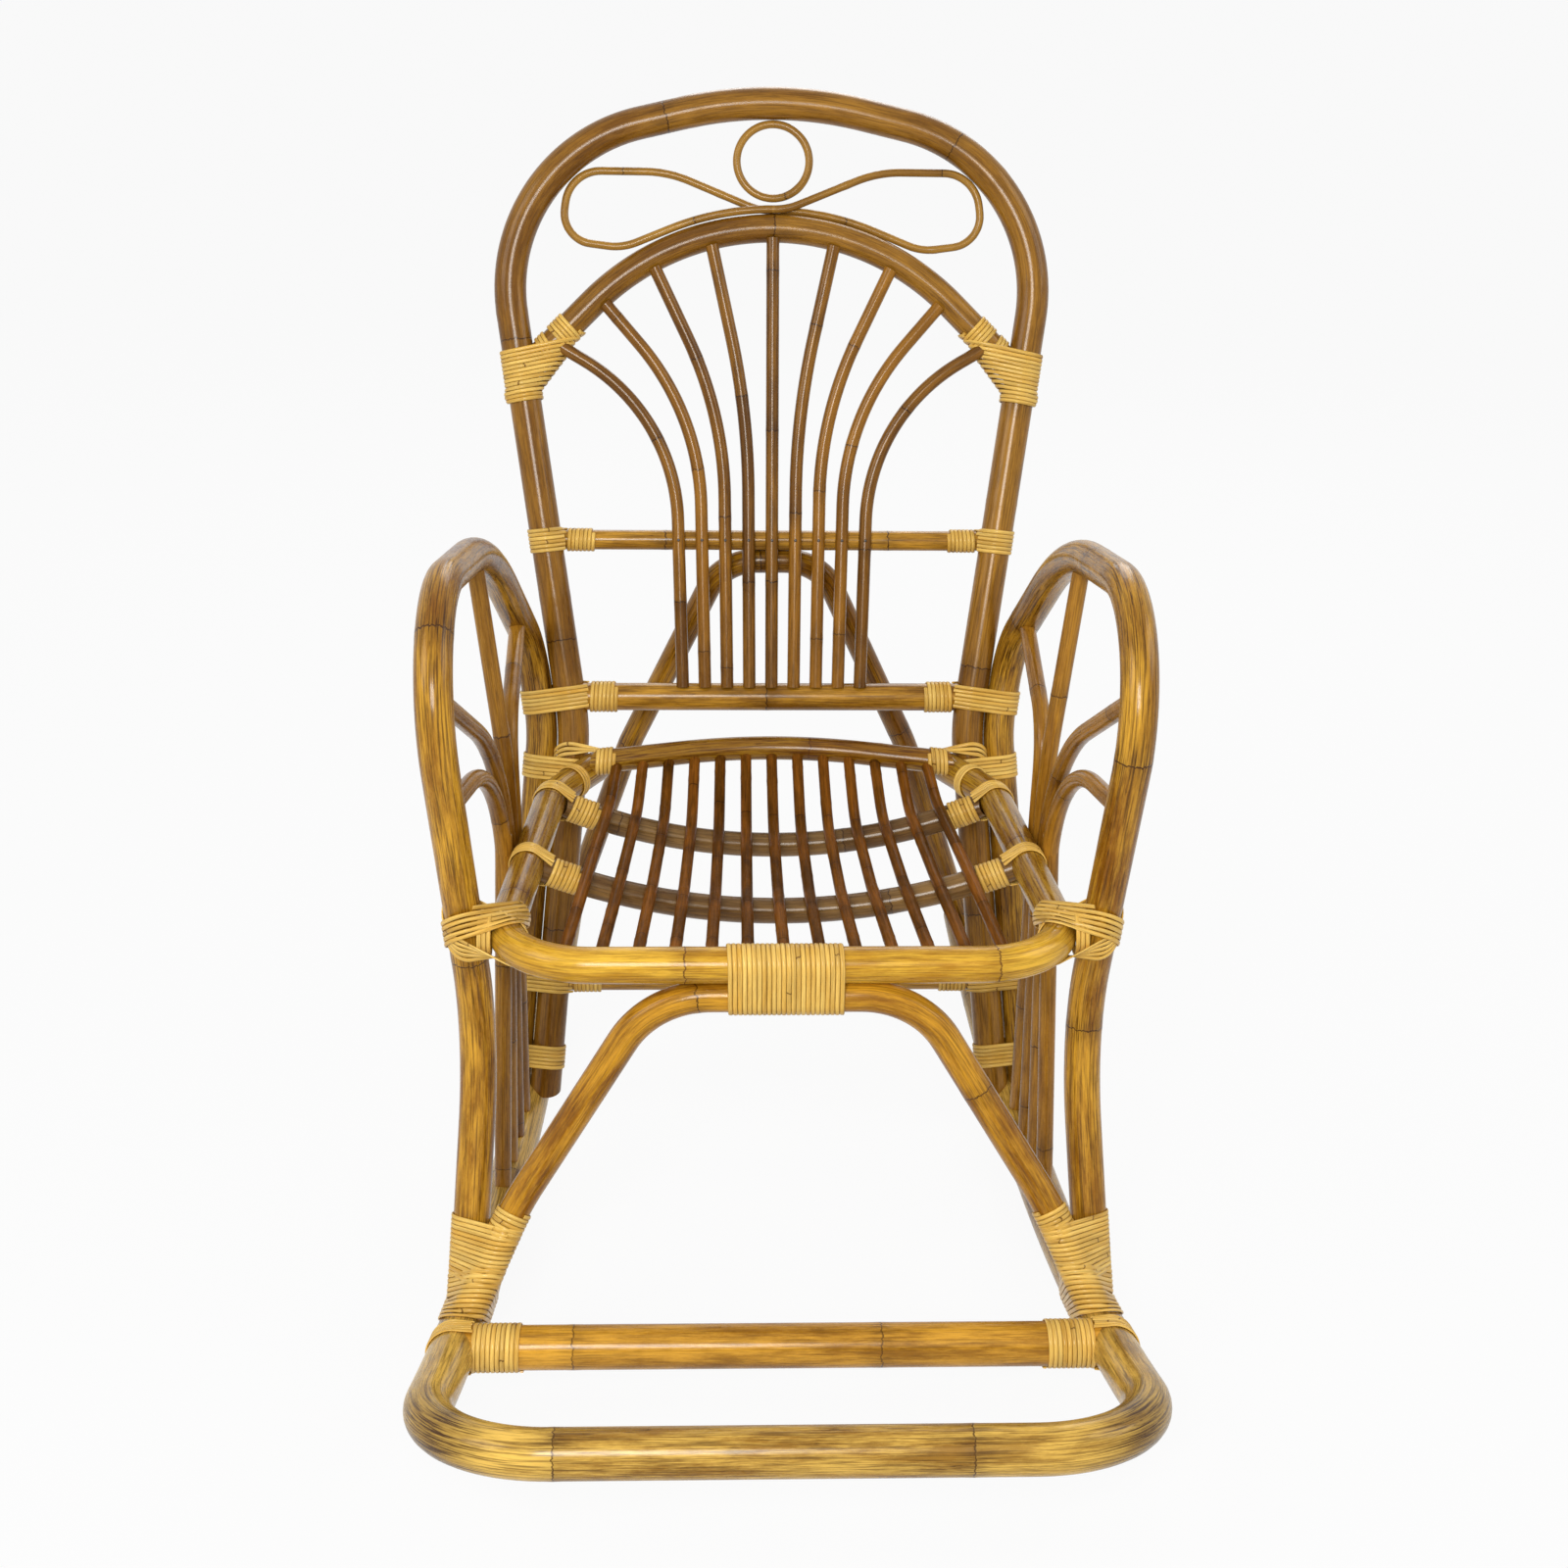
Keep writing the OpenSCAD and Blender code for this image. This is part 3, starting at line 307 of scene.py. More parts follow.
def post_at(s):
    if s < WAIST_S:
        return mix(waist, foot, (WAIST_S - s) / (WAIST_S - foot[2]))
    return mix(waist, shoulder, (s - WAIST_S) / (SHOULDER_S - WAIST_S))


post_way, low_post_way = unit(shoulder - waist), unit(waist - foot)
hoop_corners = [foot, waist, shoulder, crown, flipped(shoulder), flipped(waist), flipped(foot)]
back_line = bent(leaned(hoop_corners), [WAIST_BEND, SHOULDER_BEND, CROWN_BEND, SHOULDER_BEND, WAIST_BEND])
arch_peak = ARCH_TOP + ARCH_BEND * (sqrt(2) - 1)
post_slope = (SHOULDER_X - WAIST_X) / (SHOULDER_S - WAIST_S)
arch_end_x = (WAIST_X + (arch_peak - WAIST_S) * post_slope) / (1 + post_slope)
arch_end = at(arch_end_x, 0, arch_peak - arch_end_x)
arch_line = bent(leaned([arch_end, at(0, 0, arch_peak), flipped(arch_end)]), [ARCH_BEND])
print("top of the back", round(back_line[:, 2].max() + POLE / 2), "mm above the floor")

# %% The fan of spindles
SPINDLE, SPINDLE_STEP, FAN, SPREAD, SPREAD_AT, SPREAD_BEND = 13, 22.5, 14.3, 1.09, 733, 760
spindle_n = -(HIGH_RAIL_POLE + SPINDLE) / 4 - FIT
high_rail_n = (HIGH_RAIL_POLE + SPINDLE) / 4 + FIT


def arch_point(angle):
    a, c = radians(angle), ARCH_TOP - ARCH_BEND
    if abs(angle) < 45:
        return ARCH_BEND * sin(a), c + ARCH_BEND * cos(a)
    r = (arch_peak - c) * cos(pi / 4) / cos(abs(a) - pi / 4)
    return r * sin(a), c + r * cos(a)


def spindle_corners(k):
    top = arch_point(k * FAN)
    knee = at(k * SPINDLE_STEP * SPREAD, spindle_n, SPREAD_AT)
    return [at(k * SPINDLE_STEP, spindle_n, LOW_RAIL), knee, at(top[0], spindle_n, top[1])]


def spindle_line(k):
    corners = leaned(spindle_corners(k))
    return bent(corners, [SPREAD_BEND / abs(k)]) if k else np.array([corners[0], corners[2]])


def nail_place(k):
    share = (HIGH_RAIL - LOW_RAIL) / (SPREAD_AT - LOW_RAIL)
    x = mix(k * SPINDLE_STEP, k * SPINDLE_STEP * SPREAD, share)
    return lean(at(x, spindle_n - SPINDLE / 2, HIGH_RAIL))


print("spindles at the lower rail:", 9, "over", 8 * SPINDLE_STEP, "mm")

# %% The thin cane in the crown
THIN, LOBE_X, HUG = 8, 207, radians(22)
crown_drop = CROWN_BEND * (1 / cos(atan(CROWN_RISE / SHOULDER_X)) - 1)
crown_under = SHOULDER_S + CROWN_RISE - crown_drop - POLE / 2
lobe_s = ARCH_TOP + ARCH_POLE / 2 + THIN / 2 + FIT
lobe_n = THIN / 2 + FIT
ring_radius = (crown_under - lobe_s - FIT - 1.9 * THIN) / 2
ring_middle = crown_under - FIT - THIN / 2 - ring_radius
hug_radius = ARCH_BEND + (ARCH_POLE + THIN) / 2 + FIT
hug_x = hug_radius * tan(HUG / 2)
lobe_low = (LOBE_X - 57, lobe_s - (LOBE_X - 57 - hug_x) * tan(HUG))


def lobe(side, n0, n1):
    return [
        at(side * 14, n0, lobe_s),
        at(side * 105, n0, lobe_s + 37),
        at(side * (LOBE_X - 4), mix(n0, n1, 0.35), lobe_s + 37),
        at(side * (LOBE_X + 5), mix(n0, n1, 0.65), lobe_low[1] + 8),
        at(side * lobe_low[0], n1, lobe_low[1]),
        at(side * hug_x, n1, lobe_s),
    ]


lobe_corners = leaned(lobe(1, -lobe_n, lobe_n) + lobe(-1, lobe_n, -lobe_n))
lobe_bends = [60, 120, 36, 30, 56, hug_radius] * 2
lobe_line = []
for i in range(12):
    lobe_line += bend(lobe_corners[i - 1], lobe_corners[i], lobe_corners[(i + 1) % 12], lobe_bends[i])
turns = np.linspace(0, 2 * pi, 97)[:-1] + pi / 2
ring_line = [
    lean(at(ring_radius * cos(a), 0, ring_middle + ring_radius * sin(a))) for a in turns
]
print("ring", round(2 * ring_radius), "mm across, lobes", len(lobe_line), "points")

# %% The seat
SEAT_Z, SEAT_POLE, SEAT_X, SEAT_CORNER = 383, 31, 243.5, 76
SLOPE, TAPER, SEAT_DEPTH, REAR_CORNER = radians(2.2), radians(3.7), 385, 120
SEAT_RAIL_POLE, CROSS_POLE, CROSS_SAG, CROSS_FRONT, CROSS_REAR = 24, 24, 48, 216, 375
SLATS, SLAT, SLAT_FRONT_X, SLAT_REAR_X, SLAT_BEND = 13, 11, 189, 156, 150
RAIL_AT, RAIL_RISE, RAIL_BEND = 0.72, 12, 480
SEAT_BACK, END_IN, END_BACK = 295, 40, 82
seat_front_y = front_bar_y + SEAT_BACK
tilt = turned_plane(SLOPE, seat_front_y, SEAT_Z)


def tilted(points):
    return [tilt(p) for p in points]


def side_x(y):
    return SEAT_X - y * tan(TAPER)


seat_front = at(SEAT_X, 0, 0)
seat_rear = at(side_x(SEAT_DEPTH), SEAT_DEPTH, 0)
seat_end = at(side_x(SEAT_DEPTH) - END_IN, SEAT_DEPTH + END_BACK, 0)
seat_corners = tilted(mirrored([seat_end, seat_rear, seat_front]))
seat_line = bent(seat_corners, [REAR_CORNER, SEAT_CORNER, SEAT_CORNER, REAR_CORNER])

rail_end = mix(seat_rear, seat_end, RAIL_AT) + at(0, 0, RAIL_RISE)
rail_bow = at(0, 36, 9)
rail_mid = at(0, rail_end[1], rail_end[2]) + rail_bow
seat_rail_line = bent(tilted([rail_end, rail_mid, flipped(rail_end)]), [RAIL_BEND])
rail_slope = atan(norm(rail_bow) / rail_end[0])


def rail_point(x):
    high = norm(rail_bow)
    if abs(x) < RAIL_BEND * sin(rail_slope):
        rise = high - RAIL_BEND * (1 / cos(rail_slope) - cos(asin(x / RAIL_BEND)))
    else:
        rise = high - abs(x) * tan(rail_slope)
    return at(x, rail_end[1], rail_end[2]) + unit(rail_bow) * rise


def bow_radius(half):
    return (half * half + CROSS_SAG * CROSS_SAG) / (2 * CROSS_SAG)


def bow_z(x, half, out=0):
    r = bow_radius(half)
    return r - CROSS_SAG - sqrt((r - out) ** 2 - x * x)


def cross_line(y):
    return np.array([tilt(at(x, y, bow_z(x, side_x(y)))) for x in np.linspace(-side_x(y), side_x(y), 60)])


def slat_line(i):
    k = 2 * i / (SLATS - 1) - 1
    corners = [rail_point(k * SLAT_REAR_X) - at(0, 0, 1.5)]
    for y in (CROSS_REAR, CROSS_FRONT):
        x = k * mix(SLAT_FRONT_X, SLAT_REAR_X, y / rail_end[1])
        corners.append(at(x, y, bow_z(x, side_x(y), (CROSS_POLE + SLAT) / 2 + FIT)))
    return bent(tilted(corners + [at(k * SLAT_FRONT_X, 0, -4)]), [SLAT_BEND, SLAT_BEND])


print("seat", round(2 * SEAT_X + SEAT_POLE), "mm wide outside")

# %% The side hoops and the spindles under the arms
LEG_BACK, LEG_BOW_Y, LEG_BOW_Z, LEG_BEND = 275, 101, 272, 250
ARM_Y, ARM_OUT, ARM_LENGTH, ARM_FRONT_Z, ARM_REAR_Z = 27, 22, 345, 694, 637
ARM_FRONT_BEND, ARM_REAR_BEND, TAIL_BEND, TAIL_TOP = 110, 300, 70, 500
leg_foot = rocker_at(front_bar_y + LEG_BACK)
arm_front_y, leg_bow_y = leg_foot[1] + ARM_Y, leg_foot[1] + LEG_BOW_Y
pass_share = (SEAT_Z - LEG_BOW_Z) / (ARM_FRONT_Z - LEG_BOW_Z)
leg_pass_y = mix(leg_bow_y, arm_front_y, pass_share)
leg_x = side_x(leg_pass_y - seat_front_y) + (SEAT_POLE + POLE) / 2 + TOUCH
arm_x = leg_x + ARM_OUT
leg_bow = at((leg_x - pass_share * arm_x) / (1 - pass_share), leg_bow_y, LEG_BOW_Z)
arm_front = at(arm_x, arm_front_y, ARM_FRONT_Z)
tail_out = at(POLE + TOUCH, 3, 0)
tail_top, tail_waist, tail_foot = [lean(p + tail_out) for p in (post_at(TAIL_TOP), waist, foot)]
arm_rear = at(mix(arm_x, tail_top[0], 0.42), arm_front_y + ARM_LENGTH, ARM_REAR_Z)
side_corners = [leg_foot, leg_bow, arm_front, arm_rear, tail_top, tail_waist, tail_foot]
side_bends = [LEG_BEND, ARM_FRONT_BEND, ARM_REAR_BEND, TAIL_BEND, WAIST_BEND - tail_out[0]]
side_line = bent(side_corners, side_bends)

SIDE_SPINDLE, KNEE_Z, KNEE_BENDS = 16, (482, 468, 450, 476), (125, 190, 500, 58)
fan_ends = [
    mix(leg_bow, arm_front, 0.55),
    bend(leg_bow, arm_front, arm_rear, ARM_FRONT_BEND, [0.32])[0],
    bend(arm_front, arm_rear, tail_top, ARM_REAR_BEND, [0.2])[0],
    mix(arm_rear, tail_top, 0.72),
]


def side_spindle_line(i):
    y = leg_foot[1] + 215 + 48 * i
    pass_y = leg_foot[1] + 250 + 21 * i
    pass_x = side_x(pass_y - seat_front_y) + (SEAT_POLE + SIDE_SPINDLE) / 2 + TOUCH
    knee = at(pass_x + 2, pass_y + 2, KNEE_Z[i])
    return bent([rocker_at(y), at(pass_x, pass_y, SEAT_Z), knee, fan_ends[i]], [400, KNEE_BENDS[i]])


print("arm", round(ARM_FRONT_Z), "mm high at the front")

# %% The braces
BRACE_POLE, BRACE_TOP_X, BRACE_KNEE_X, BRACE_KNEE_Z = 27, 112, 231, 150
PROP_POLE, PROP_Z, PROP_TOP_X, PROP_KNEE_X, PROP_KNEE_Z, PROP_END = 25, 555, 50, 150, 330, 30
brace_z = SEAT_Z - (SEAT_POLE + BRACE_POLE) / 2 - FIT
brace_foot = rocker_at(leg_foot[1] - (POLE + BRACE_POLE) / 2 - TOUCH)
brace_knee = at(BRACE_KNEE_X, seat_front_y - 2, BRACE_KNEE_Z)
brace_corners = mirrored([brace_foot, brace_knee, at(BRACE_TOP_X, seat_front_y, brace_z)])
brace_line = bent(brace_corners, [110, 85, 85, 110])
prop_y = BACK_FOOT + PROP_Z * tan(LEAN_BACK) + (SPINDLE / 2 + PROP_POLE / 2) / cos(LEAN_BACK)
prop_foot = rocker_at(BASE_LENGTH / 2 - PROP_END)
knee_share = (PROP_Z - PROP_KNEE_Z) / (PROP_Z - prop_foot[2])
prop_knee = at(PROP_KNEE_X, mix(prop_y, prop_foot[1], knee_share), PROP_KNEE_Z)
prop_line = bent(mirrored([prop_foot, prop_knee, at(PROP_TOP_X, prop_y, PROP_Z)]), [300, 55, 55, 300])
print("rear brace", round(2 * prop_foot[0]), "mm wide at the rockers")

# %% [markdown]
# ## Growth rings
# A cane grows in lengths of a hand or two, with a thin seam and a slight swelling
# between them. The shape and the finish both need the distance to the nearest ring, so
# one function adds the same few math nodes to either kind of node tree. Each cell along
# the pole holds one ring, moved off its middle by a sine that looks random.

# %% Math nodes for growth rings
RING_SHIFT = 0.3


def ring_nodes(tree, along, spacing):
    def calc(operation, *values):
        return math_node(tree, operation, *values)

    cell = calc("FLOOR", calc("DIVIDE", along, spacing))
    shift = calc("MULTIPLY", calc("SINE", calc("MULTIPLY", cell, 12.9898)), RING_SHIFT)
    middle = calc("ADD", calc("ADD", cell, 0.5), shift)
    offset = calc("SUBTRACT", along, calc("MULTIPLY", middle, spacing))
    return calc("ABSOLUTE", offset), calc("ADD", cell, calc("GREATER_THAN", offset, 0.0))


print("a ring lies at most", RING_SHIFT, "of a cell from its middle")

# %% [markdown]
# ## A tree that draws a pole
# Every pole is a round section moved along a line, which is what Curve to Mesh does. The
# tree swells the section at growth rings, and keeps where each point was on a straight
# pole: across it in X and Y, and along it in Z. Grain drawn by these coordinates follows
# every bend and has no seam. The steps that the bindings' strands need too are functions
# of their own.

# %% The geometry tree of a pole
def capture(tree, kind, name, geometry, value):
    node = tree.nodes.new("GeometryNodeCaptureAttribute")
    node.capture_items.new(kind, name)
    kept = fill(tree, node, {"Geometry": geometry, name: value})
    return kept["Geometry"], kept[name]


def end_tree(tree, given, geometry):
    for kind in ("GeometryNodeSetShadeSmooth", "GeometryNodeRealizeInstances"):
        geometry = add_node(tree, kind, {"Geometry": geometry})["Geometry"]
    paint = {"Geometry": geometry, "Material": given["Material"]}
    painted = add_node(tree, "GeometryNodeSetMaterial", paint)["Geometry"]
    add_node(tree, "NodeGroupOutput", {"Geometry": painted})


def sweep(tree, given, line, along, profile, scale=1.0):
    line, z = capture(tree, "FLOAT", "Along", line, along)
    position = add_node(tree, "GeometryNodeInputPosition", {})[0]
    profile, across = capture(tree, "VECTOR", "Across", profile, position)
    swept = add_node(tree, "GeometryNodeCurveToMesh", {
        "Curve": line, "Profile Curve": profile, "Scale": scale, "Fill Caps": True,
    })["Mesh"]
    apart = add_node(tree, "ShaderNodeSeparateXYZ", {0: across})
    cane = add_node(tree, "ShaderNodeCombineXYZ", {"X": apart["X"], "Y": apart["Y"], "Z": z})[0]
    stored = add_node(tree, "GeometryNodeStoreNamedAttribute", {
        "Geometry": swept, "Name": "cane", "Value": cane,
    }, data_type="FLOAT_VECTOR")["Geometry"]
    end_tree(tree, given, stored)


def pole_tree():
    tree, given = new_group("GeometryNodeTree", "Cane pole", {
        "Geometry": "Geometry", "Diameter": 0.03, "Step": 0.005, "Start": 0.0,
        "Ring Spacing": 0.2, "Ring Swell": 0.0002, "Sides": 28, "Material": "Material",
    }, {"Geometry": "Geometry"})
    line = add_node(tree, "GeometryNodeMeshToCurve", {"Mesh": given["Geometry"]})["Curve"]
    spaced = {"Curve": line, "Length": given["Step"]}
    even = add_node(tree, "GeometryNodeResampleCurve", spaced, mode="LENGTH")["Curve"]
    length = add_node(tree, "GeometryNodeSplineParameter", {})["Length"]
    along = math_node(tree, "ADD", length, given["Start"])

    distance, _ = ring_nodes(tree, along, given["Ring Spacing"])
    rise = math_node(tree, "MULTIPLY", remap(tree, distance, 0, 0.007, 1, 0), given["Ring Swell"])
    radius = math_node(tree, "DIVIDE", given["Diameter"], 2.0)
    scale = math_node(tree, "ADD", math_node(tree, "DIVIDE", rise, radius), 1.0)
    round_section = {"Resolution": given["Sides"], "Radius": radius}
    circle = add_node(tree, "GeometryNodeCurvePrimitiveCircle", round_section)["Curve"]
    sweep(tree, given, even, along, circle, scale)
    return tree


cane_pole_tree = pole_tree()
print("nodes in the pole tree:", len(cane_pole_tree.nodes))

# %% [markdown]
# ## Finishes
# All the cane is one plant under one varnish, so the finishes share their effects as
# node groups: the grain, and the growth rings. The grain is noise squeezed across the
# pole and stretched along it. Each material then picks its own three colours, from the
# straw of the cane's skin to the dark stain that gathers at bends and joints. The dark
# colour also paints the shade on some poles.

# %% A group for the grain
def stretched_noise(tree, coordinates, squeeze, scale, detail=3.0, rough=0.6):
    squeezed = {0: coordinates, 1: (1, 1, squeeze)}
    scaled = add_node(tree, "ShaderNodeVectorMath", squeezed, operation="MULTIPLY")[0]
    return add_node(tree, "ShaderNodeTexNoise", {
        "Vector": scaled, "Scale": scale, "Detail": detail, "Roughness": rough,
    })["Fac"]


def grain_group():
    tree, given = new_group(
        "ShaderNodeTree", "Cane grain", {"Coordinates": "Vector"},
        {"Fibre": "Float", "Mottle": "Float", "Fleck": "Float", "Skin": "Float"},
    )
    where = given["Coordinates"]
    add_node(tree, "NodeGroupOutput", {
        "Fibre": remap(tree, stretched_noise(tree, where, 0.03, 800, 4), 0.42, 0.66),
        "Mottle": remap(tree, stretched_noise(tree, where, 0.16, 60, 9, 0.72), 0.36, 0.64),
        "Fleck": remap(tree, stretched_noise(tree, where, 0.09, 520, 2), 0.62, 0.72),
        "Skin": stretched_noise(tree, where, 0.6, 420, 3),
    })
    return tree


grain = grain_group()
print("grain group:", len(grain.nodes), "nodes")

# %% A group for the growth rings
def rings_group():
    tree, given = new_group(
        "ShaderNodeTree", "Growth rings", {"Coordinates": "Vector", "Spacing": 0.2},
        {"Seam": "Float", "Halo": "Float", "Length Tone": "Float"},
    )
    ragged = stretched_noise(tree, given["Coordinates"], 0.3, 260, 2)
    wander = math_node(tree, "MULTIPLY", math_node(tree, "SUBTRACT", ragged, 0.5), 0.006)
    z = add_node(tree, "ShaderNodeSeparateXYZ", {0: given["Coordinates"]})["Z"]
    distance, length = ring_nodes(tree, math_node(tree, "ADD", z, wander), given["Spacing"])
    white = add_node(tree, "ShaderNodeTexWhiteNoise", {"W": length}, noise_dimensions="1D")
    add_node(tree, "NodeGroupOutput", {
        "Seam": remap(tree, distance, 0.0002, 0.0011, 1, 0),
        "Halo": remap(tree, distance, 0.001, 0.02, 1, 0),
        "Length Tone": white["Value"],
    })
    return tree


growth_rings = rings_group()
print("growth ring group:", len(growth_rings.nodes), "nodes")

# %% [markdown]
# ## Pole materials
# A cane's colour is built in steps, as a finisher would. Pale and middle colours mix in
# blotches, and change at each growth ring. Dark stain then settles in fibres, flecks and
# seams. The pole's own tone adds the same dark colour: at bends and from cane to cane it
# is the cane's own, and where a pole is hidden from light, as on the seat frame's sides,
# it is painted shade.
# The clear coat is the varnish, and its slight orange peel breaks up the highlights.

# %% Pole materials
def linear(hexadecimal):
    parts = [int(hexadecimal[i:i + 2], 16) / 255 for i in (0, 2, 4)]
    return tuple(c / 12.92 if c < 0.04045 else ((c + 0.055) / 1.055) ** 2.4 for c in parts) + (1,)


def blend_colours(tree, factor, a, b):
    return add_node(tree, "ShaderNodeMix", {"Factor": factor, 6: a, 7: b}, data_type="RGBA")[2]


def pole_material(
    name, pale, middle, dark, blotches, stain, change, spacing, rough=(0.24, 0.42), coat=0.38,
):
    material, tree, surface = new_material(name)

    def calc(operation, *values):
        return math_node(tree, operation, *values)

    where = add_node(tree, "ShaderNodeAttribute", {}, attribute_name="cane")["Vector"]
    tone_and_shade = add_node(tree, "ShaderNodeAttribute", {}, attribute_name="tone")["Fac"]
    fibres = add_node(tree, "ShaderNodeGroup", {"Coordinates": where}, node_tree=grain)
    on_line = {"Coordinates": where, "Spacing": spacing}
    rings = add_node(tree, "ShaderNodeGroup", on_line, node_tree=growth_rings)

    shifted = calc("MULTIPLY", calc("SUBTRACT", rings["Length Tone"], 0.5), change)
    blotch = calc("MULTIPLY", fibres["Mottle"], blotches)
    share = calc("ADD", calc("ADD", blotch, 0.5 - blotches / 2), shifted)
    share = calc("MAXIMUM", calc("MINIMUM", share, 1.0), 0.0)
    colour = blend_colours(tree, share, linear(pale), linear(middle))

    streaks = calc("MULTIPLY", fibres["Fibre"], stain)
    flecks = calc("MULTIPLY", calc("MULTIPLY", fibres["Fleck"], fibres["Mottle"]), stain)
    settled = calc("MAXIMUM", streaks, calc("MULTIPLY", flecks, 1.5))
    stained = calc("MAXIMUM", settled, calc("MULTIPLY", rings["Seam"], 0.75))
    dirt = calc("ADD", stained, calc("MULTIPLY", rings["Halo"], 0.18))
    # The tone adds colour changes of the cane itself and, on poles such as the seat frame's sides, painted
    # shade.
    toned = calc("MINIMUM", calc("ADD", dirt, tone_and_shade), 1.0)
    colour = blend_colours(tree, toned, colour, linear(dark))

    height = calc("SUBTRACT", fibres["Skin"], calc("MULTIPLY", rings["Seam"], 1.6))
    peel = {"Strength": 0.35, "Distance": 0.0006, "Height": height}
    fill(tree, surface, {
        "Base Color": colour, "Roughness": remap(tree, fibres["Skin"], 0.35, 0.65, *rough),
        "Normal": add_node(tree, "ShaderNodeBump", peel)["Normal"],
        "Coat Weight": coat, "Coat Roughness": 0.18,
        "Specular IOR Level": coat * 0.3, "Specular Tint": (1, 0.75, 0.35, 1),
    })
    return material


FINISHES = {
    "base_pole": ("E8BC58", "946A22", "44280A", 0.85, 0.68, 0.5, 0.29),
    "hoop_pole": ("E2A834", "8A560E", "422404", 0.85, 0.66, 0.4, 0.31),
    "arch_pole": ("B27E2A", "784C0E", "402406", 0.7, 0.45, 0.6, 0.27),
    "rail_pole": ("DCA236", "8E5E12", "442806", 0.85, 0.5, 0.5, 0.24),
    "seat_pole": ("E8B63C", "AC7612", "5A3206", 0.8, 0.5, 0.4, 0.26),
    "cross_bar_pole": ("8E6C3C", "64441E", "38200C", 0.8, 0.5, 0.5, 0.2),
    "brace_pole": ("DCA02A", "8E5A0E", "442604", 0.85, 0.5, 0.5, 0.25),
    "spindle": ("A06C20", "68400C", "381E06", 0.7, 0.45, 0.7, 0.17),
    "side_spindle": ("B8822A", "7C4E10", "402408", 0.7, 0.45, 0.6, 0.2),
    "slat": ("92581A", "5A360A", "2A1404", 0.8, 0.45, 0.5, 0.12, (0.28, 0.45), 0.06),
    "thin_cane": ("B08234", "845A1E", "472C0E", 0.6, 0.35, 0.4, 0.21),
    "binding_cane": ("F4CE70", "D8A440", "70491A", 0.6, 0.3, 0.4, 0.33, (0.3, 0.5), 0.3),
}
finishes = {name: pole_material(name, *looks) for name, looks in FINISHES.items()}
print("cane materials:", ", ".join(finishes))

# %% [markdown]
# ## Drawing the poles
# A line becomes a mesh of points and edges, the tree turns it into a pole, and the
# result is kept as a plain mesh. Where a pole ends on another, a carver shapes its end
# to fit round that pole. Here each lengthwise row of points is drawn back to the other
# pole's surface, which makes the same fitted end without cutting the mesh.

# %% Drawing a pole
SIDES = 28
MOST_BESIDE, END_GAP, SAME_POINT, START_STEP = 0.7, 0.15, 0.05, 3.7
pole_count = 0


def clean_line(points, closed):
    kept = [points[0]]
    for p in points[1:]:
        if norm(p - kept[-1]) > SAME_POINT:
            kept.append(p)
    if closed and norm(kept[0] - kept[-1]) < SAME_POINT:
        kept.pop()
    return np.array(kept)


def line_mesh(name, points, edges, **values):
    mesh = bpy.data.meshes.new(name)
    mesh.from_pydata((np.array(points) * 0.001).tolist(), edges, [])
    for key, numbers in values.items():
        numbers = np.array(numbers, float)
        kind, field = ("FLOAT", "value") if numbers.ndim == 1 else ("FLOAT_VECTOR", "vector")
        mesh.attributes.new(key, kind, "POINT").data.foreach_set(field, numbers.ravel())
    return mesh


def read_rings(data, field, sides):
    values = np.zeros(len(data) * 3, np.float32)
    data.foreach_get(field, values)
    return values.astype(float).reshape(-1, sides, 3)


def run_tree(name, mesh, tree, inputs):
    source = new_object(name + "_line", mesh)
    modifier = source.modifiers.new("tree", "NODES")
    modifier.node_group = tree
    sockets = {s.name: s.identifier for s in tree.interface.items_tree if s.in_out == "INPUT"}
    for key, value in inputs.items():
        modifier[sockets[key]] = value
    source.update_tag()
    bpy.context.view_layer.update()
    evaluated = source.evaluated_get(bpy.context.evaluated_depsgraph_get())
    result = bpy.data.meshes.new_from_object(evaluated)
    bpy.data.objects.remove(source)
    bpy.data.meshes.remove(mesh)
    result.name = name
    return result


def fit_end(rings, distance, post):
    centre, way, radius = post
    middles = rings[:2].mean(axis=1)
    out = unit(middles[1] - middles[0])
    way = unit(way)
    start = rings[0] - centre
    across = start - np.outer(start @ way, way)
    run = out - (out @ way) * way
    a, b, c = run @ run, 2 * across @ run, (across ** 2).sum(axis=1) - (radius + END_GAP) ** 2
    beside = (across ** 2).sum(axis=1) - b * b / (4 * a)
    if beside.max() > radius ** 2:
        c = c - (beside - (MOST_BESIDE * radius) ** 2).clip(0)
    inside = b * b - 4 * a * c
    back = np.where(inside > 0, (-b + np.sqrt(np.maximum(inside, 0))) / (2 * a), 0).clip(0)
    share = (1 - distance / (2.5 * back.max() + 1)).clip(0)
    rings += share[:, None, None] * back[None, :, None] * out


def press(rings, a, b, radius):
    way = unit(b - a)
    from_axis = rings - a
    t = from_axis @ way
    radial = from_axis - t[..., None] * way
    far = norm(radial, axis=-1)
    near = (far < radius) & (t > 0) & (t < norm(b - a))
    rings[near] += radial[near] / far[near][:, None] * (radius - far[near])[:, None]


def add_piece(name, mesh, node):
    piece = new_object(name, mesh)
    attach(piece, "root")
    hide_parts(node)


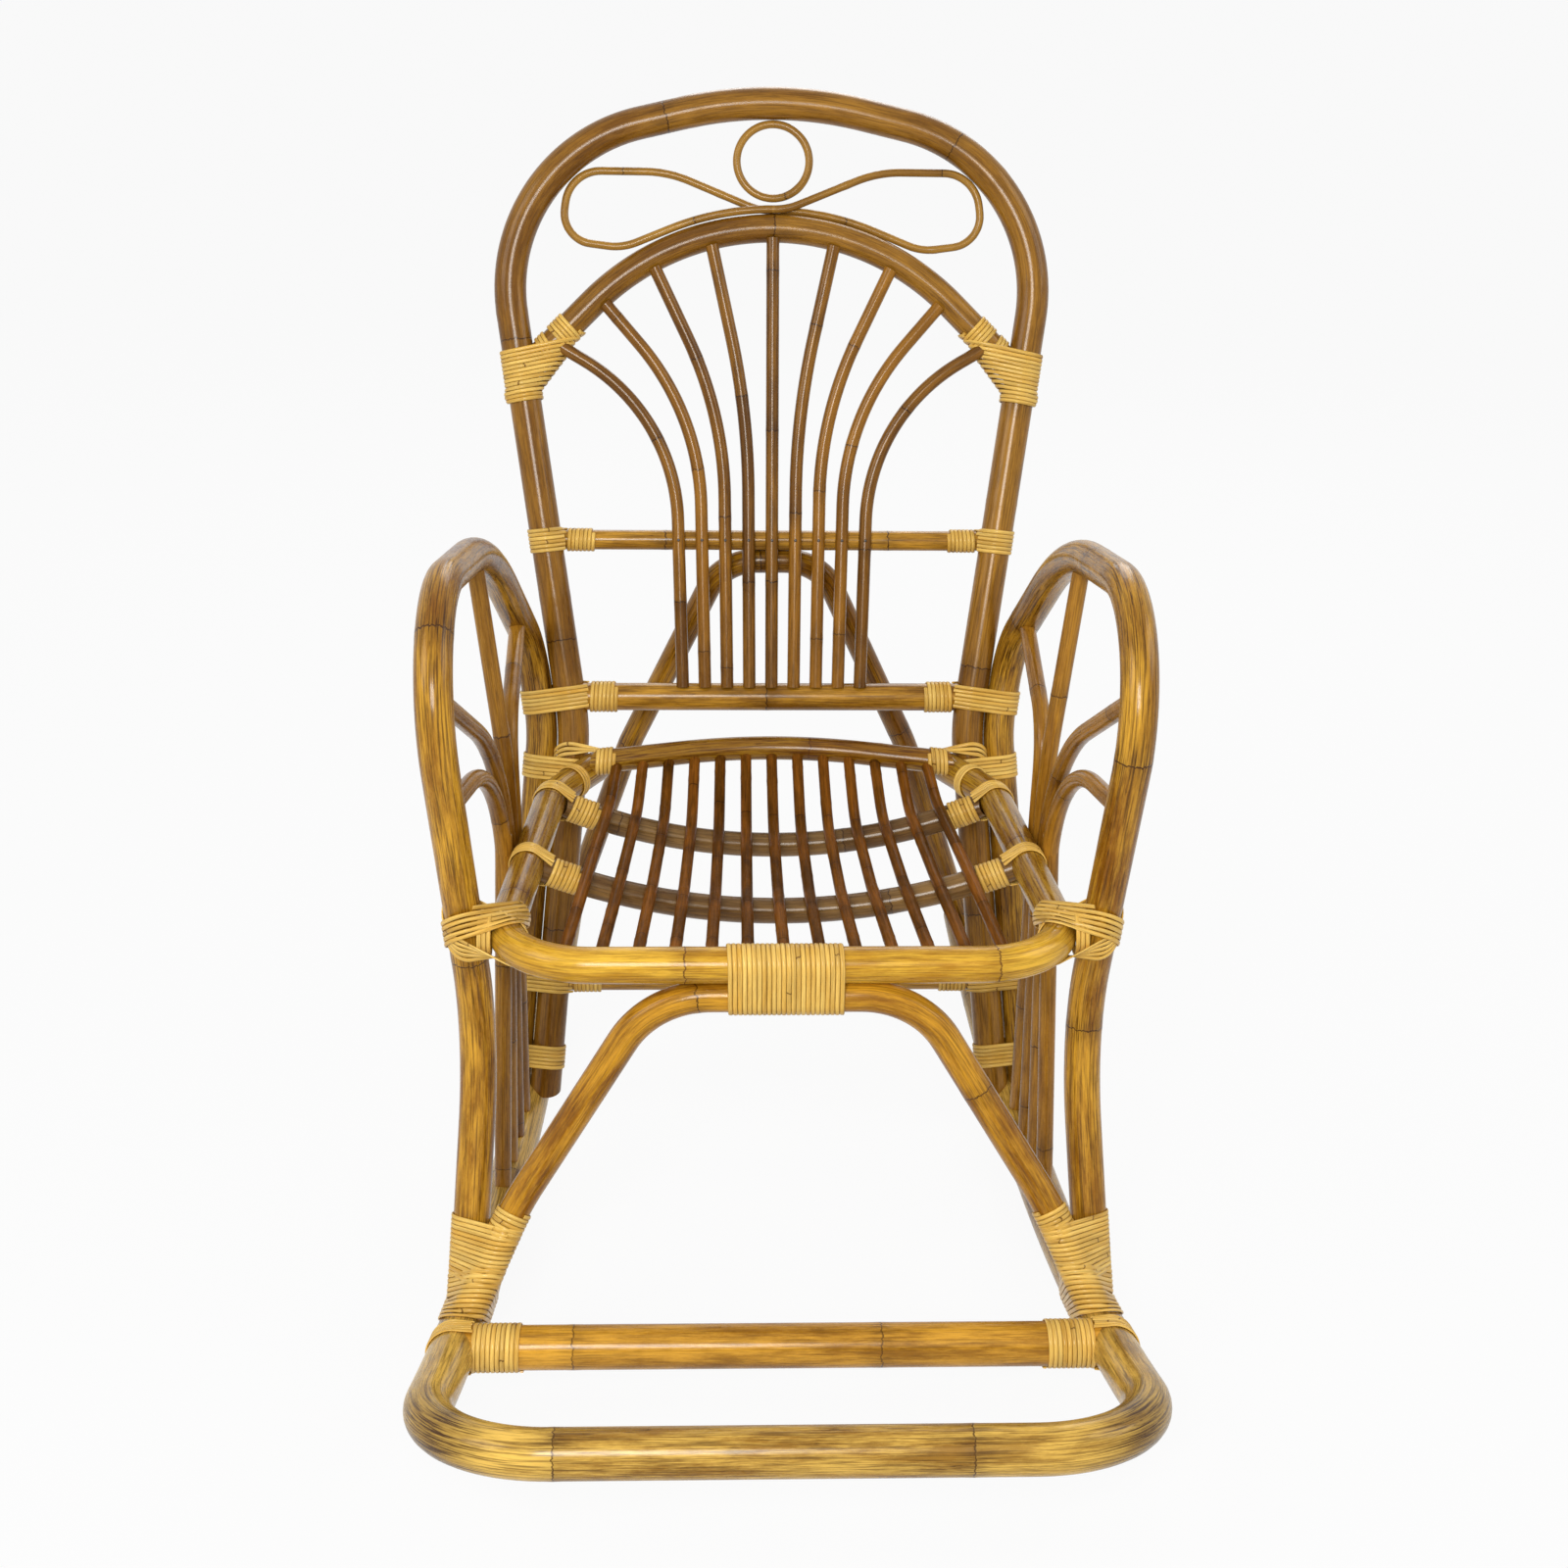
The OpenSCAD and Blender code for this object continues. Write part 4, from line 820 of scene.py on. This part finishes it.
def pole(
    node, points, diameter, finish, ends=(None, None), closed=False, tone=0, presses=(),
    step=5.0, sides=SIDES, spacing=None, swell=0.2,
):
    global pole_count
    pole_count += 1
    points = clean_line(np.array(points), closed)
    last = len(points) - 1
    edges = [(i, i + 1) for i in range(last)] + [(last, 0)] * closed
    tones = [tone(p) if callable(tone) else tone for p in points]
    start = START_STEP * pole_count
    inputs = {
        "Diameter": diameter * 0.001, "Step": step * 0.001, "Start": start,
        "Ring Spacing": spacing or FINISHES[finish][6], "Ring Swell": swell * 0.001,
        "Sides": sides, "Material": finishes[finish],
    }
    mesh = run_tree("cane_" + node, line_mesh(node, points, edges, tone=tones), cane_pole_tree, inputs)
    rings = read_rings(mesh.vertices, "co", sides) * 1000
    along = (read_rings(mesh.attributes["cane"].data, "vector", sides)[:, 0, 2] - start) * 1000
    if ends[0] is not None:
        fit_end(rings, along, ends[0])
    if ends[1] is not None:
        fit_end(rings[::-1], along[-1] - along[::-1], ends[1])
    for a, b, radius in presses:
        press(rings, a, b, radius)
    mesh.vertices.foreach_set("co", (rings * 0.001).astype(np.float32).ravel())
    mesh.update()
    add_piece("cane_" + node, mesh, node)


print("pole maker ready, with", SIDES, "sides to a pole")

# %% [markdown]
# ## The base and the side hoops
# The base is one thick pole whose two sides are the rockers. Each side hoop is one pole
# as well: front leg, arm, and a tail that runs down beside the back post. A pole that
# stands on a rocker is fitted to it. The tone darkens a hoop along its arm and towards
# its rear.

# %% Base and side hoops
X, Y, Z = np.eye(3)
CORNER_TONE_X, CORNER_TONE_Y, CORNER_FADE = 262, -380, 40


def other_side(post):
    centre, way, radius = post
    return flipped(centre), flipped(way), radius


def both(post):
    return post, other_side(post)


def on_rocker(y):
    return rocker_at(y), rocker_way(y), BASE_POLE / 2


def fade(value, start, length):
    return np.clip((value - start) / length, 0, 1)


def hoop_tone(p):
    arm, rear = fade(p[2], 480, 160), fade(p[1], 0, 160)
    return 0.08 + 0.18 * arm + 0.22 * rear * (1 - arm)


def base_tone(p):
    corner = 1 - fade(abs(abs(p[0]) - CORNER_TONE_X), 0, CORNER_FADE)
    return 0.55 * corner * fade(-p[1], -CORNER_TONE_Y, CORNER_FADE)


pole("base_loop", base_line, BASE_POLE, "base_pole", tone=base_tone)
bar_ends = [bar_end, flipped(bar_end)]
pole("base_cross_bar", bar_ends, BASE_BAR, "rail_pole", both(on_rocker(bar_y)), tone=-0.1)
leg_post, tail_post = on_rocker(leg_foot[1]), on_rocker(tail_foot[1])
pole("right_side_hoop", side_line, POLE, "hoop_pole", (leg_post, tail_post), tone=hoop_tone)
left_posts = (other_side(leg_post), other_side(tail_post))
pole("left_side_hoop", flipped(side_line), POLE, "hoop_pole", left_posts, tone=hoop_tone)
print("hoops and base drawn, poles so far:", pole_count)

# %% [markdown]
# ## The back
# The back hoop is the tallest bend. An arch, two rails and nine thin spindles fill it,
# and a ring and a figure of eight of very thin cane lie in the crown. The spindles pass
# in front of the upper rail and end on the lower rail and on the arch.

# %% Back
SPINDLE_TONES = (0.12, -0.2, 0.02, 0.24, 0.28, 0.1, -0.12, -0.16, 0.14)


def way_in(place, v):
    return place(v) - place(at(0, 0, 0))


def on_post(s):
    way = post_way if s > WAIST_S else low_post_way
    return lean(post_at(s)), way_in(lean, way), POLE / 2


def back_tone(p):
    return 0.23 - 0.15 * fade(p[2], 200, 500)


pole("back_hoop", back_line, POLE, "arch_pole", both(on_rocker(post_y)), tone=back_tone, spacing=0.31)
arch_posts = both(on_post(arch_end[2]))
pole("back_arch", arch_line, ARCH_POLE, "arch_pole", arch_posts, tone=0.14)
for node, s, n, d in (
    ("back_lower_rail", LOW_RAIL, 0, LOW_RAIL_POLE),
    ("back_upper_rail", HIGH_RAIL, high_rail_n, HIGH_RAIL_POLE),
    ("rear_stretcher", STRETCHER, 0, STRETCHER_POLE),
):
    end = lean(post_at(s) + at(0, n, 0))
    pole(node, [end, flipped(end)], d, "rail_pole", both(on_post(s)), tone=0.14)

low_rail_post = (lean(at(0, 0, LOW_RAIL)), X, LOW_RAIL_POLE / 2)
for k, shade in zip(range(-4, 5), SPINDLE_TONES):
    slope = radians(np.clip(k * FAN, -45, 45))
    top = arch_point(k * FAN)
    arch_way = way_in(lean, at(cos(slope), 0, -sin(slope)))
    arch_post = (lean(at(top[0], 0, top[1])), arch_way, ARCH_POLE / 2)
    ends = (low_rail_post, arch_post)
    name = f"back_spindle_{k + 5}"
    pole(name, spindle_line(k), SPINDLE, "spindle", ends, tone=shade, sides=18)

for node, line in (("back_scroll_ring", ring_line), ("back_scroll_lobes", lobe_line)):
    pole(node, line, THIN, "thin_cane", closed=True, sides=12, step=3, spacing=0.2)
print("back drawn, poles so far:", pole_count)

# %% [markdown]
# ## The seat and the braces
# The seat frame is golden at the front, where the light catches it, and brown along its
# sides. Its rear ends press against the back posts. Two sagging cross bars carry the
# slats, whose ends rest on the frame's front run and on the bowed rail at the rear.

# %% Seat frame and cross bars
def seat_tone(p):
    return 0.5 * fade(p[1], seat_front_y + 15, 70) * (1 - 0.2 * fade(p[1], 60, 100))


posts = [(lean(foot), lean(waist)), (lean(waist), lean(shoulder))]
posts += [(flipped(a), flipped(b)) for a, b in posts]
pressed = [(a, b, POLE / 2 + FIT) for a, b in posts]
pole("seat_frame", seat_line, SEAT_POLE, "seat_pole", tone=seat_tone, presses=pressed)

frame_end = (tilt(mix(seat_rear, seat_end, RAIL_AT)), way_in(tilt, seat_end - seat_rear), SEAT_POLE / 2)
pole("seat_back_rail", seat_rail_line, SEAT_RAIL_POLE, "seat_pole", both(frame_end), tone=0.55, spacing=0.23)
frame_way = way_in(tilt, seat_rear - seat_front)
for node, y, inner in (("seat_cross_bar_front", CROSS_FRONT, 0), ("seat_cross_bar_rear", CROSS_REAR, 2.4)):
    left = (tilt(at(inner - side_x(y), y, 0)), flipped(frame_way), SEAT_POLE / 2)
    pole(node, cross_line(y), CROSS_POLE, "cross_bar_pole", (left, other_side(left)))
print("seat frame drawn, poles so far:", pole_count)

# %% Slats
WRAP_THICK, WRAP_HALF = 2.8, 56
for i in range(SLATS):
    k = 2 * i / (SLATS - 1) - 1
    rear_x = k * SLAT_REAR_X
    rail_way = way_in(tilt, rail_point(rear_x + 1) - rail_point(rear_x - 1))
    wound = WRAP_THICK if abs(k) * SLAT_FRONT_X < WRAP_HALF else 0
    rear_post = (tilt(rail_point(rear_x)), rail_way, SEAT_RAIL_POLE / 2)
    front_post = (tilt(at(0, 1.9 if abs(k) == 1 else 0, 0)), X, SEAT_POLE / 2 + wound)
    ends = (rear_post, front_post)
    name = f"seat_slat_{i + 1}"
    pole(name, slat_line(i), SLAT, "slat", ends, sides=16, spacing=0.115, swell=0.25, step=4)
print("slats:", SLATS)

# %% Braces and the spindles under the arms
brace_posts = both(on_rocker(brace_foot[1]))
pole("front_brace", brace_line, BRACE_POLE, "brace_pole", brace_posts)
prop_posts = both(on_rocker(prop_foot[1]))
pole("rear_brace", prop_line, PROP_POLE, "brace_pole", prop_posts, tone=0.35)


def way_along(a, b, c, r, t):
    p, q = bend(a, b, c, r, [t - 0.02, t + 0.02])
    return q - p


hoop_ways = [
    arm_front - leg_bow,
    way_along(leg_bow, arm_front, arm_rear, ARM_FRONT_BEND, 0.32),
    way_along(arm_front, arm_rear, tail_top, ARM_REAR_BEND, 0.2),
    tail_top - arm_rear,
]
for i in range(4):
    line = side_spindle_line(i)
    ends = (on_rocker(line[0][1]), (fan_ends[i], hoop_ways[i], POLE / 2))
    pole(f"right_side_spindle_{i + 1}", line, SIDE_SPINDLE, "side_spindle", ends, sides=20)
    ends = (other_side(ends[0]), other_side(ends[1]))
    pole(f"left_side_spindle_{i + 1}", flipped(line), SIDE_SPINDLE, "side_spindle", ends, sides=20)
print("poles drawn:", pole_count)

# %% [markdown]
# ## A tree that draws a strand
# The bindings are strips of peeled cane, much wider than thick. The tree sweeps a flat
# oval along a line. A free curve normal, read from an attribute, keeps the flat side on
# the pole below, however the strand runs.

# %% The geometry tree of a strand
def strand_tree():
    tree, given = new_group("GeometryNodeTree", "Cane strand", {
        "Geometry": "Geometry", "Width": 0.0039, "Thickness": 0.0017, "Material": "Material",
    }, {"Geometry": "Geometry"})
    outward, start = [
        add_node(tree, "GeometryNodeInputNamedAttribute", {"Name": name}, data_type=kind)["Attribute"]
        for name, kind in (("out", "FLOAT_VECTOR"), ("start", "FLOAT"))
    ]
    line = add_node(tree, "GeometryNodeMeshToCurve", {"Mesh": given["Geometry"]})["Curve"]
    facing = {"Curve": line, "Normal": outward}
    upright = add_node(tree, "GeometryNodeSetCurveNormal", facing, mode="FREE")["Curve"]
    length = add_node(tree, "GeometryNodeSplineParameter", {})["Length"]
    along = math_node(tree, "ADD", length, start)

    circle = add_node(tree, "GeometryNodeCurvePrimitiveCircle", {"Resolution": 8, "Radius": 0.5})["Curve"]
    size = add_node(tree, "ShaderNodeCombineXYZ", {"X": given["Thickness"], "Y": given["Width"]})[0]
    flat = add_node(tree, "GeometryNodeTransform", {"Geometry": circle, "Scale": size})["Geometry"]
    sweep(tree, given, upright, along, flat)
    return tree


cane_strand_tree = strand_tree()
print("nodes in the strand tree:", len(cane_strand_tree.nodes))

# %% [markdown]
# ## The line of a strand
# A strand pulled tight round two poles runs straight between them, as a rubber band
# would. Each pole is taken as a row of balls. For every direction across the winding,
# the ball that reaches furthest is where the strand lies. The plane of the turn climbs
# as the direction goes round, so that the turns lie side by side.

# %% Winding
STRAND, PITCH, LIFT = 3.9, 4.05, 1.2
TURN_POINTS = 36
chance = np.random.default_rng(5)


def evenly(line, step, *values):
    lengths = np.concatenate([[0], np.cumsum(norm(np.diff(line, axis=0), axis=1))])
    places = np.arange(0, lengths[-1], step)
    return [np.stack([np.interp(places, lengths, v[:, i]) for i in range(3)], axis=1) for v in values]


def near(line, diameter, centre, reach):
    line = np.array(line)
    dense = evenly(line, 1.0, line)[0]
    return dense[norm(dense - centre, axis=1) < reach], diameter / 2


def wind(poles, start, way, turns, lift=LIFT, hidden=Y):
    way = unit(way)
    right = unit(hidden - (hidden @ way) * way)
    above = np.cross(way, right)
    centres = np.concatenate([line for line, _ in poles])
    radii = np.concatenate([np.full(len(line), radius + lift) for line, radius in poles])
    turned = np.arange(0, turns, 1 / TURN_POINTS)[:, None]
    angles = turned * 2 * pi
    off = (centres - start) @ way - PITCH * turned
    room = radii ** 2 - off ** 2
    reach = (centres @ right) * np.cos(angles) + (centres @ above) * np.sin(angles) + np.sqrt(room.clip(0))
    best = np.where(room > 0, reach, -1e9).argmax(axis=1)
    rows = np.arange(len(turned))
    direction = np.cos(angles) * right + np.sin(angles) * above
    middle = centres[best] - off[rows, best][:, None] * way
    points = middle + direction * np.sqrt(room[rows, best])[:, None]
    outs = (points - centres[best]) / radii[best][:, None]
    points, outs = evenly(points, 2.4, points, outs)
    return points, outs / norm(outs, axis=1)[:, None]


def cut(strand, keep):
    points, outs = strand
    kept = np.array([keep(p) for p in points])
    edges = np.flatnonzero(np.diff(np.concatenate([[0], kept, [0]])))
    return [(points[a:b], outs[a:b]) for a, b in edges.reshape(-1, 2) if b - a > 3]


turn = wind([near([0 * Z, 50 * Z], POLE, 25 * Z, 40)], 20 * Z, Z, 1)
print("one turn round a pole:", len(turn[0]), "points")

# %% Drawing the strands of a binding
SHADE_POINTS = 36
strand_count = 0


def binding(node, strands, two_sides=True):
    global strand_count
    if two_sides:
        strands = strands + [(flipped(p), flipped(o)) for p, o in strands]
    points, outs, edges, tones, starts = [], [], [], [], []
    for line, out in strands:
        strand_count += 1
        far = np.concatenate([[True], norm(np.diff(line, axis=0), axis=1) > 0.2])
        line, out = line[far], out[far]
        edges += [(len(points) + i, len(points) + i + 1) for i in range(len(line) - 1)]
        shades = chance.uniform(-0.05, 0.16, len(line) // SHADE_POINTS + 2)
        tones += list(np.interp(np.arange(len(line)), SHADE_POINTS * np.arange(len(shades)), shades))
        points += list(line)
        outs += list(out)
        starts += [chance.uniform(0, 40)] * len(line)
    mesh = line_mesh(node, points, edges, tone=tones, start=starts, out=outs)
    inputs = {"Width": STRAND * 0.001, "Material": finishes["binding_cane"]}
    add_piece("cane_" + node, run_tree("cane_" + node, mesh, cane_strand_tree, inputs), node)


print("strand width", STRAND, "mm")

# %% [markdown]
# ## The bindings
# Three patterns cover nearly all joints. A sleeve is wound round one pole. A strap goes
# round a post, and its strands dive under the sleeve of the pole that ends there. A
# lashing crosses two poles in slanting planes, one group each way.

# %% Front binding and the joints of the back
def sleeve(line, diameter, start, way, length):
    return wind([near(line, diameter, start, length + 40)], start, way, length / PITCH)


FRONT_TURNS = 24
front_middle = at(0, seat_front_y, SEAT_Z)
rail_and_brace = [
    near(seat_line, SEAT_POLE, front_middle, 110), near(brace_line, BRACE_POLE, front_middle, 110),
]
front_start = front_middle - FRONT_TURNS / 2 * PITCH * X
binding("front_wrap", [wind(rail_and_brace, front_start, X, FRONT_TURNS, 1.9)], two_sides=False)


def rail_joint(s, n, diameter, with_tail):
    p = lean(post_at(s))
    way = unit(way_in(lean, post_way if s > WAIST_S else low_post_way))
    rail_at = lean(post_at(s) + at(0, n, 0))
    rail = [rail_at, rail_at - 90 * X]
    poles = [near(back_line, POLE, p, 70), near(rail, diameter, rail_at, 24)]
    if with_tail:
        poles.append(near(side_line, POLE, p + 30 * X, 90))
    strap = wind(poles, p - 12 * way, way, 6, hidden=at(-1, 0.6, 0))
    bands = cut(strap, lambda q: (rail_at - q) @ X < POLE / 2 + 4)
    inner = rail_at - (POLE / 2 + 5) * X
    return bands + [sleeve(rail, diameter, inner, -X, 27)]


binding("upper_rail_wraps", rail_joint(HIGH_RAIL, high_rail_n, HIGH_RAIL_POLE, False))
binding("lower_rail_wraps", rail_joint(LOW_RAIL, 0, LOW_RAIL_POLE, True))
binding("stretcher_wraps", rail_joint(STRETCHER, 0, STRETCHER_POLE, True))
print("strands so far:", strand_count)

# %% Where the arch meets the back hoop
def slanted(way, other, degrees):
    tilt_by = radians(degrees)
    return unit(way) * cos(tilt_by) + unit(other) * sin(tilt_by)


WEB = 26
arch_p = lean(arch_end)
post_up = unit(way_in(lean, post_way))
arch_up = unit(way_in(lean, at(-1, 0, 1)))
web_line = leaned([arch_end + at(2, 0, -20), arch_end + at(-36, 0, 30)])
hoop_and_arch = [
    near(back_line, POLE, arch_p, 80), near(arch_line, ARCH_POLE, arch_p, 75),
    near(web_line, WEB, arch_p, 90),
]
arch_bands = wind(hoop_and_arch, arch_p - 27 * post_up, slanted(post_up, X, 4), 13.4, 1.9)
arch_sleeve = sleeve(arch_line, ARCH_POLE, arch_p + 50 * arch_up, arch_up, 22)
arch_under = sleeve(arch_line, ARCH_POLE, arch_p + 30 * arch_up, slanted(arch_up, X, -14), 13)
binding("arch_wraps", [arch_bands, arch_sleeve, arch_under])

# %% Seat frame against the back posts
def frame_to(share):
    return tilt(mix(seat_rear, seat_end, share))


lash_s = (SEAT_Z - (seat_end[1] + 10) * sin(SLOPE)) / cos(LEAN_BACK) - 8
lash_p = lean(post_at(lash_s))
post_low_up = unit(way_in(lean, low_post_way))
end_way = unit(frame_to(1) - frame_to(0))
post_part = near(back_line, POLE, lash_p, 70)
post_and_tail = [post_part, near(side_line, POLE, lash_p + 30 * X, 70)]
rear_strap = wind(post_and_tail, lash_p - 12 * post_low_up, post_low_up, 6)
post_and_frame = [post_part, near(seat_line, SEAT_POLE, lash_p, 42)]
rear_way = slanted(post_low_up, Y, 48)
rear_cross = wind(post_and_frame, lash_p - 2 * post_low_up, rear_way, 3, 3.2, at(1, 0.5, 0))
rear_cross = cut(rear_cross, lambda q: (q - lash_p) @ X > -(POLE / 2 + 6) or (q - lash_p) @ post_low_up > 0)
rear_ring = sleeve(seat_line, SEAT_POLE, frame_to(0.4), end_way, 13)
rail_ring_start = tilt(rail_point(rail_end[0] - 12))
rail_ring = sleeve(seat_rail_line, SEAT_RAIL_POLE, rail_ring_start, -X, 19)
binding("seat_rear_lashings", [rear_strap, rear_ring, rail_ring] + rear_cross)

# %% Seat frame against the front legs
leg_up = unit(arm_front - leg_bow)
pass_p = mix(leg_bow, arm_front, pass_share)
corner_p = pass_p - (SEAT_POLE + POLE) / 2 * X
leg_and_frame = [near(side_line, POLE, pass_p, 75), near(seat_line, SEAT_POLE, corner_p, 32)]
UNDER = 3.6
outside = at(1, 0.6, 0)
low_way = slanted(slanted(leg_up, Y, -40), X, -8)
lash_low = wind(leg_and_frame, pass_p - 8 * leg_up, low_way, 5.2, 1.2, outside)
high_way = slanted(slanted(leg_up, Y, 38), X, 14)
lash_high = wind(leg_and_frame, pass_p - 12 * leg_up, high_way, 5.6, 2.9, outside)
touch_p = pass_p - POLE / 2 * X
corner_line = [touch_p - 30 * X, touch_p + 30 * X]
corner_ring = sleeve(corner_line, SEAT_POLE + 2 * UNDER, touch_p - 7 * X, X, 13)
binding("seat_front_lashings", [lash_low, lash_high, corner_ring])

# %% Cross bars under the slats
def cross_bar_joint(y):
    bar = cross_line(y)[::-1]
    on_frame = tilt(at(side_x(y), y, 0))
    inward = unit(bar[4] - bar[0])
    poles = [near(seat_line, SEAT_POLE, on_frame, 40), near(bar, CROSS_POLE, bar[0], 26)]
    strap = wind(poles, on_frame - 9 * unit(frame_way), frame_way, 4.5, hidden=inward)
    bands = cut(strap, lambda q: (q - on_frame) @ inward < SEAT_POLE / 2 + 6)
    return bands + [sleeve(bar, CROSS_POLE, on_frame + (SEAT_POLE / 2 + 6) * inward, inward, 27)]


binding("cross_bar_wraps", cross_bar_joint(CROSS_FRONT) + cross_bar_joint(CROSS_REAR))

# %% Feet of the legs and the brace
leg_way = unit(leg_bow - leg_foot)
brace_way = unit(brace_knee - brace_foot)
foot_mid = mix(leg_foot, brace_foot, 0.5)
half_brace = brace_line[:len(brace_line) // 2]
leg_and_brace = [
    near(side_line, POLE, leg_foot, 150), near(half_brace, BRACE_POLE, brace_foot, 112),
]
foot_bands = wind(leg_and_brace, leg_foot + 34 * leg_way, slanted(leg_way, X, -4), 13)
brace_sleeve = sleeve(half_brace, BRACE_POLE, brace_foot + 86 * brace_way, brace_way, 26)
foot_poles = leg_and_brace + [near(rocker_line, BASE_POLE, foot_mid, 55)]
cross_way = slanted(Z, Y, 42)
foot_cross = wind(foot_poles, leg_foot - 8 * leg_way, cross_way, 10, 1.6, at(0.3, 1, 0))
binding("foot_lashings", [foot_bands, brace_sleeve, foot_cross])

# %% Bar between the rockers, and the rear feet
bar_way = unit(rocker_way(bar_y))
bar_line = [bar_end, bar_end - 90 * X]
bar_poles = [near(rocker_line, BASE_POLE, bar_end, 60), near(bar_line, BASE_BAR, bar_end, 30)]
bar_strap = wind(bar_poles, bar_end - 12 * bar_way, slanted(bar_way, X, 8), 6, hidden=-X)
bar_bands = cut(bar_strap, lambda q: (bar_end - q) @ X < BASE_POLE / 2 - 2.5)
bar_start = bar_end - (BASE_POLE / 2 - 4) * X
bar_sleeve = sleeve(bar_line, BASE_BAR, bar_start, -X, 42)
binding("base_bar_wraps", bar_bands + [bar_sleeve])

rear_p = lean(post_at(foot[2] + 50))
rear_poles = [near(back_line, POLE, rear_p, 60), near(side_line, POLE, rear_p + 30 * X, 60)]
binding("rear_foot_lashings", [wind(rear_poles, rear_p - 12 * post_low_up, post_low_up, 6)])
print("strands in all:", strand_count)

# %% [markdown]
# ## Nails
# The spindles are nailed to the upper rail. One tree puts a small flattened ball on
# every point that it is given, which is how a nail's head looks under varnish.

# %% Nail heads
def nail_tree():
    tree, given = new_group("GeometryNodeTree", "Nail heads", {
        "Geometry": "Geometry", "Radius": 0.0015, "Height": 0.35, "Lean": 0.0, "Material": "Material",
    }, {"Geometry": "Geometry"})
    round_head = {"Segments": 16, "Rings": 8, "Radius": given["Radius"]}
    ball = add_node(tree, "GeometryNodeMeshUVSphere", round_head)["Mesh"]
    size = add_node(tree, "ShaderNodeCombineXYZ", {"X": 1, "Y": given["Height"], "Z": 1})[0]
    turn_by = add_node(tree, "ShaderNodeCombineXYZ", {"X": given["Lean"]})[0]
    placed = add_node(tree, "GeometryNodeInstanceOnPoints", {
        "Points": given["Geometry"], "Instance": ball, "Scale": size, "Rotation": turn_by,
    })["Instances"]
    end_tree(tree, given, placed)
    return tree


steel, steel_tree, surface = new_material("nail")
fill(steel_tree, surface, {"Base Color": (0.04, 0.03, 0.025, 1), "Metallic": 0.2, "Roughness": 0.35})
nail_points = line_mesh("nail_points", [nail_place(k) for k in range(-4, 5)], [])
nail_inputs = {"Radius": 0.0015, "Height": 0.35, "Lean": -LEAN_BACK, "Material": steel}
nail_mesh = run_tree("nail_heads", nail_points, nail_tree(), nail_inputs)
add_piece("nail_heads", nail_mesh, "nails")
print("nail heads:", len(nail_mesh.vertices), "points")
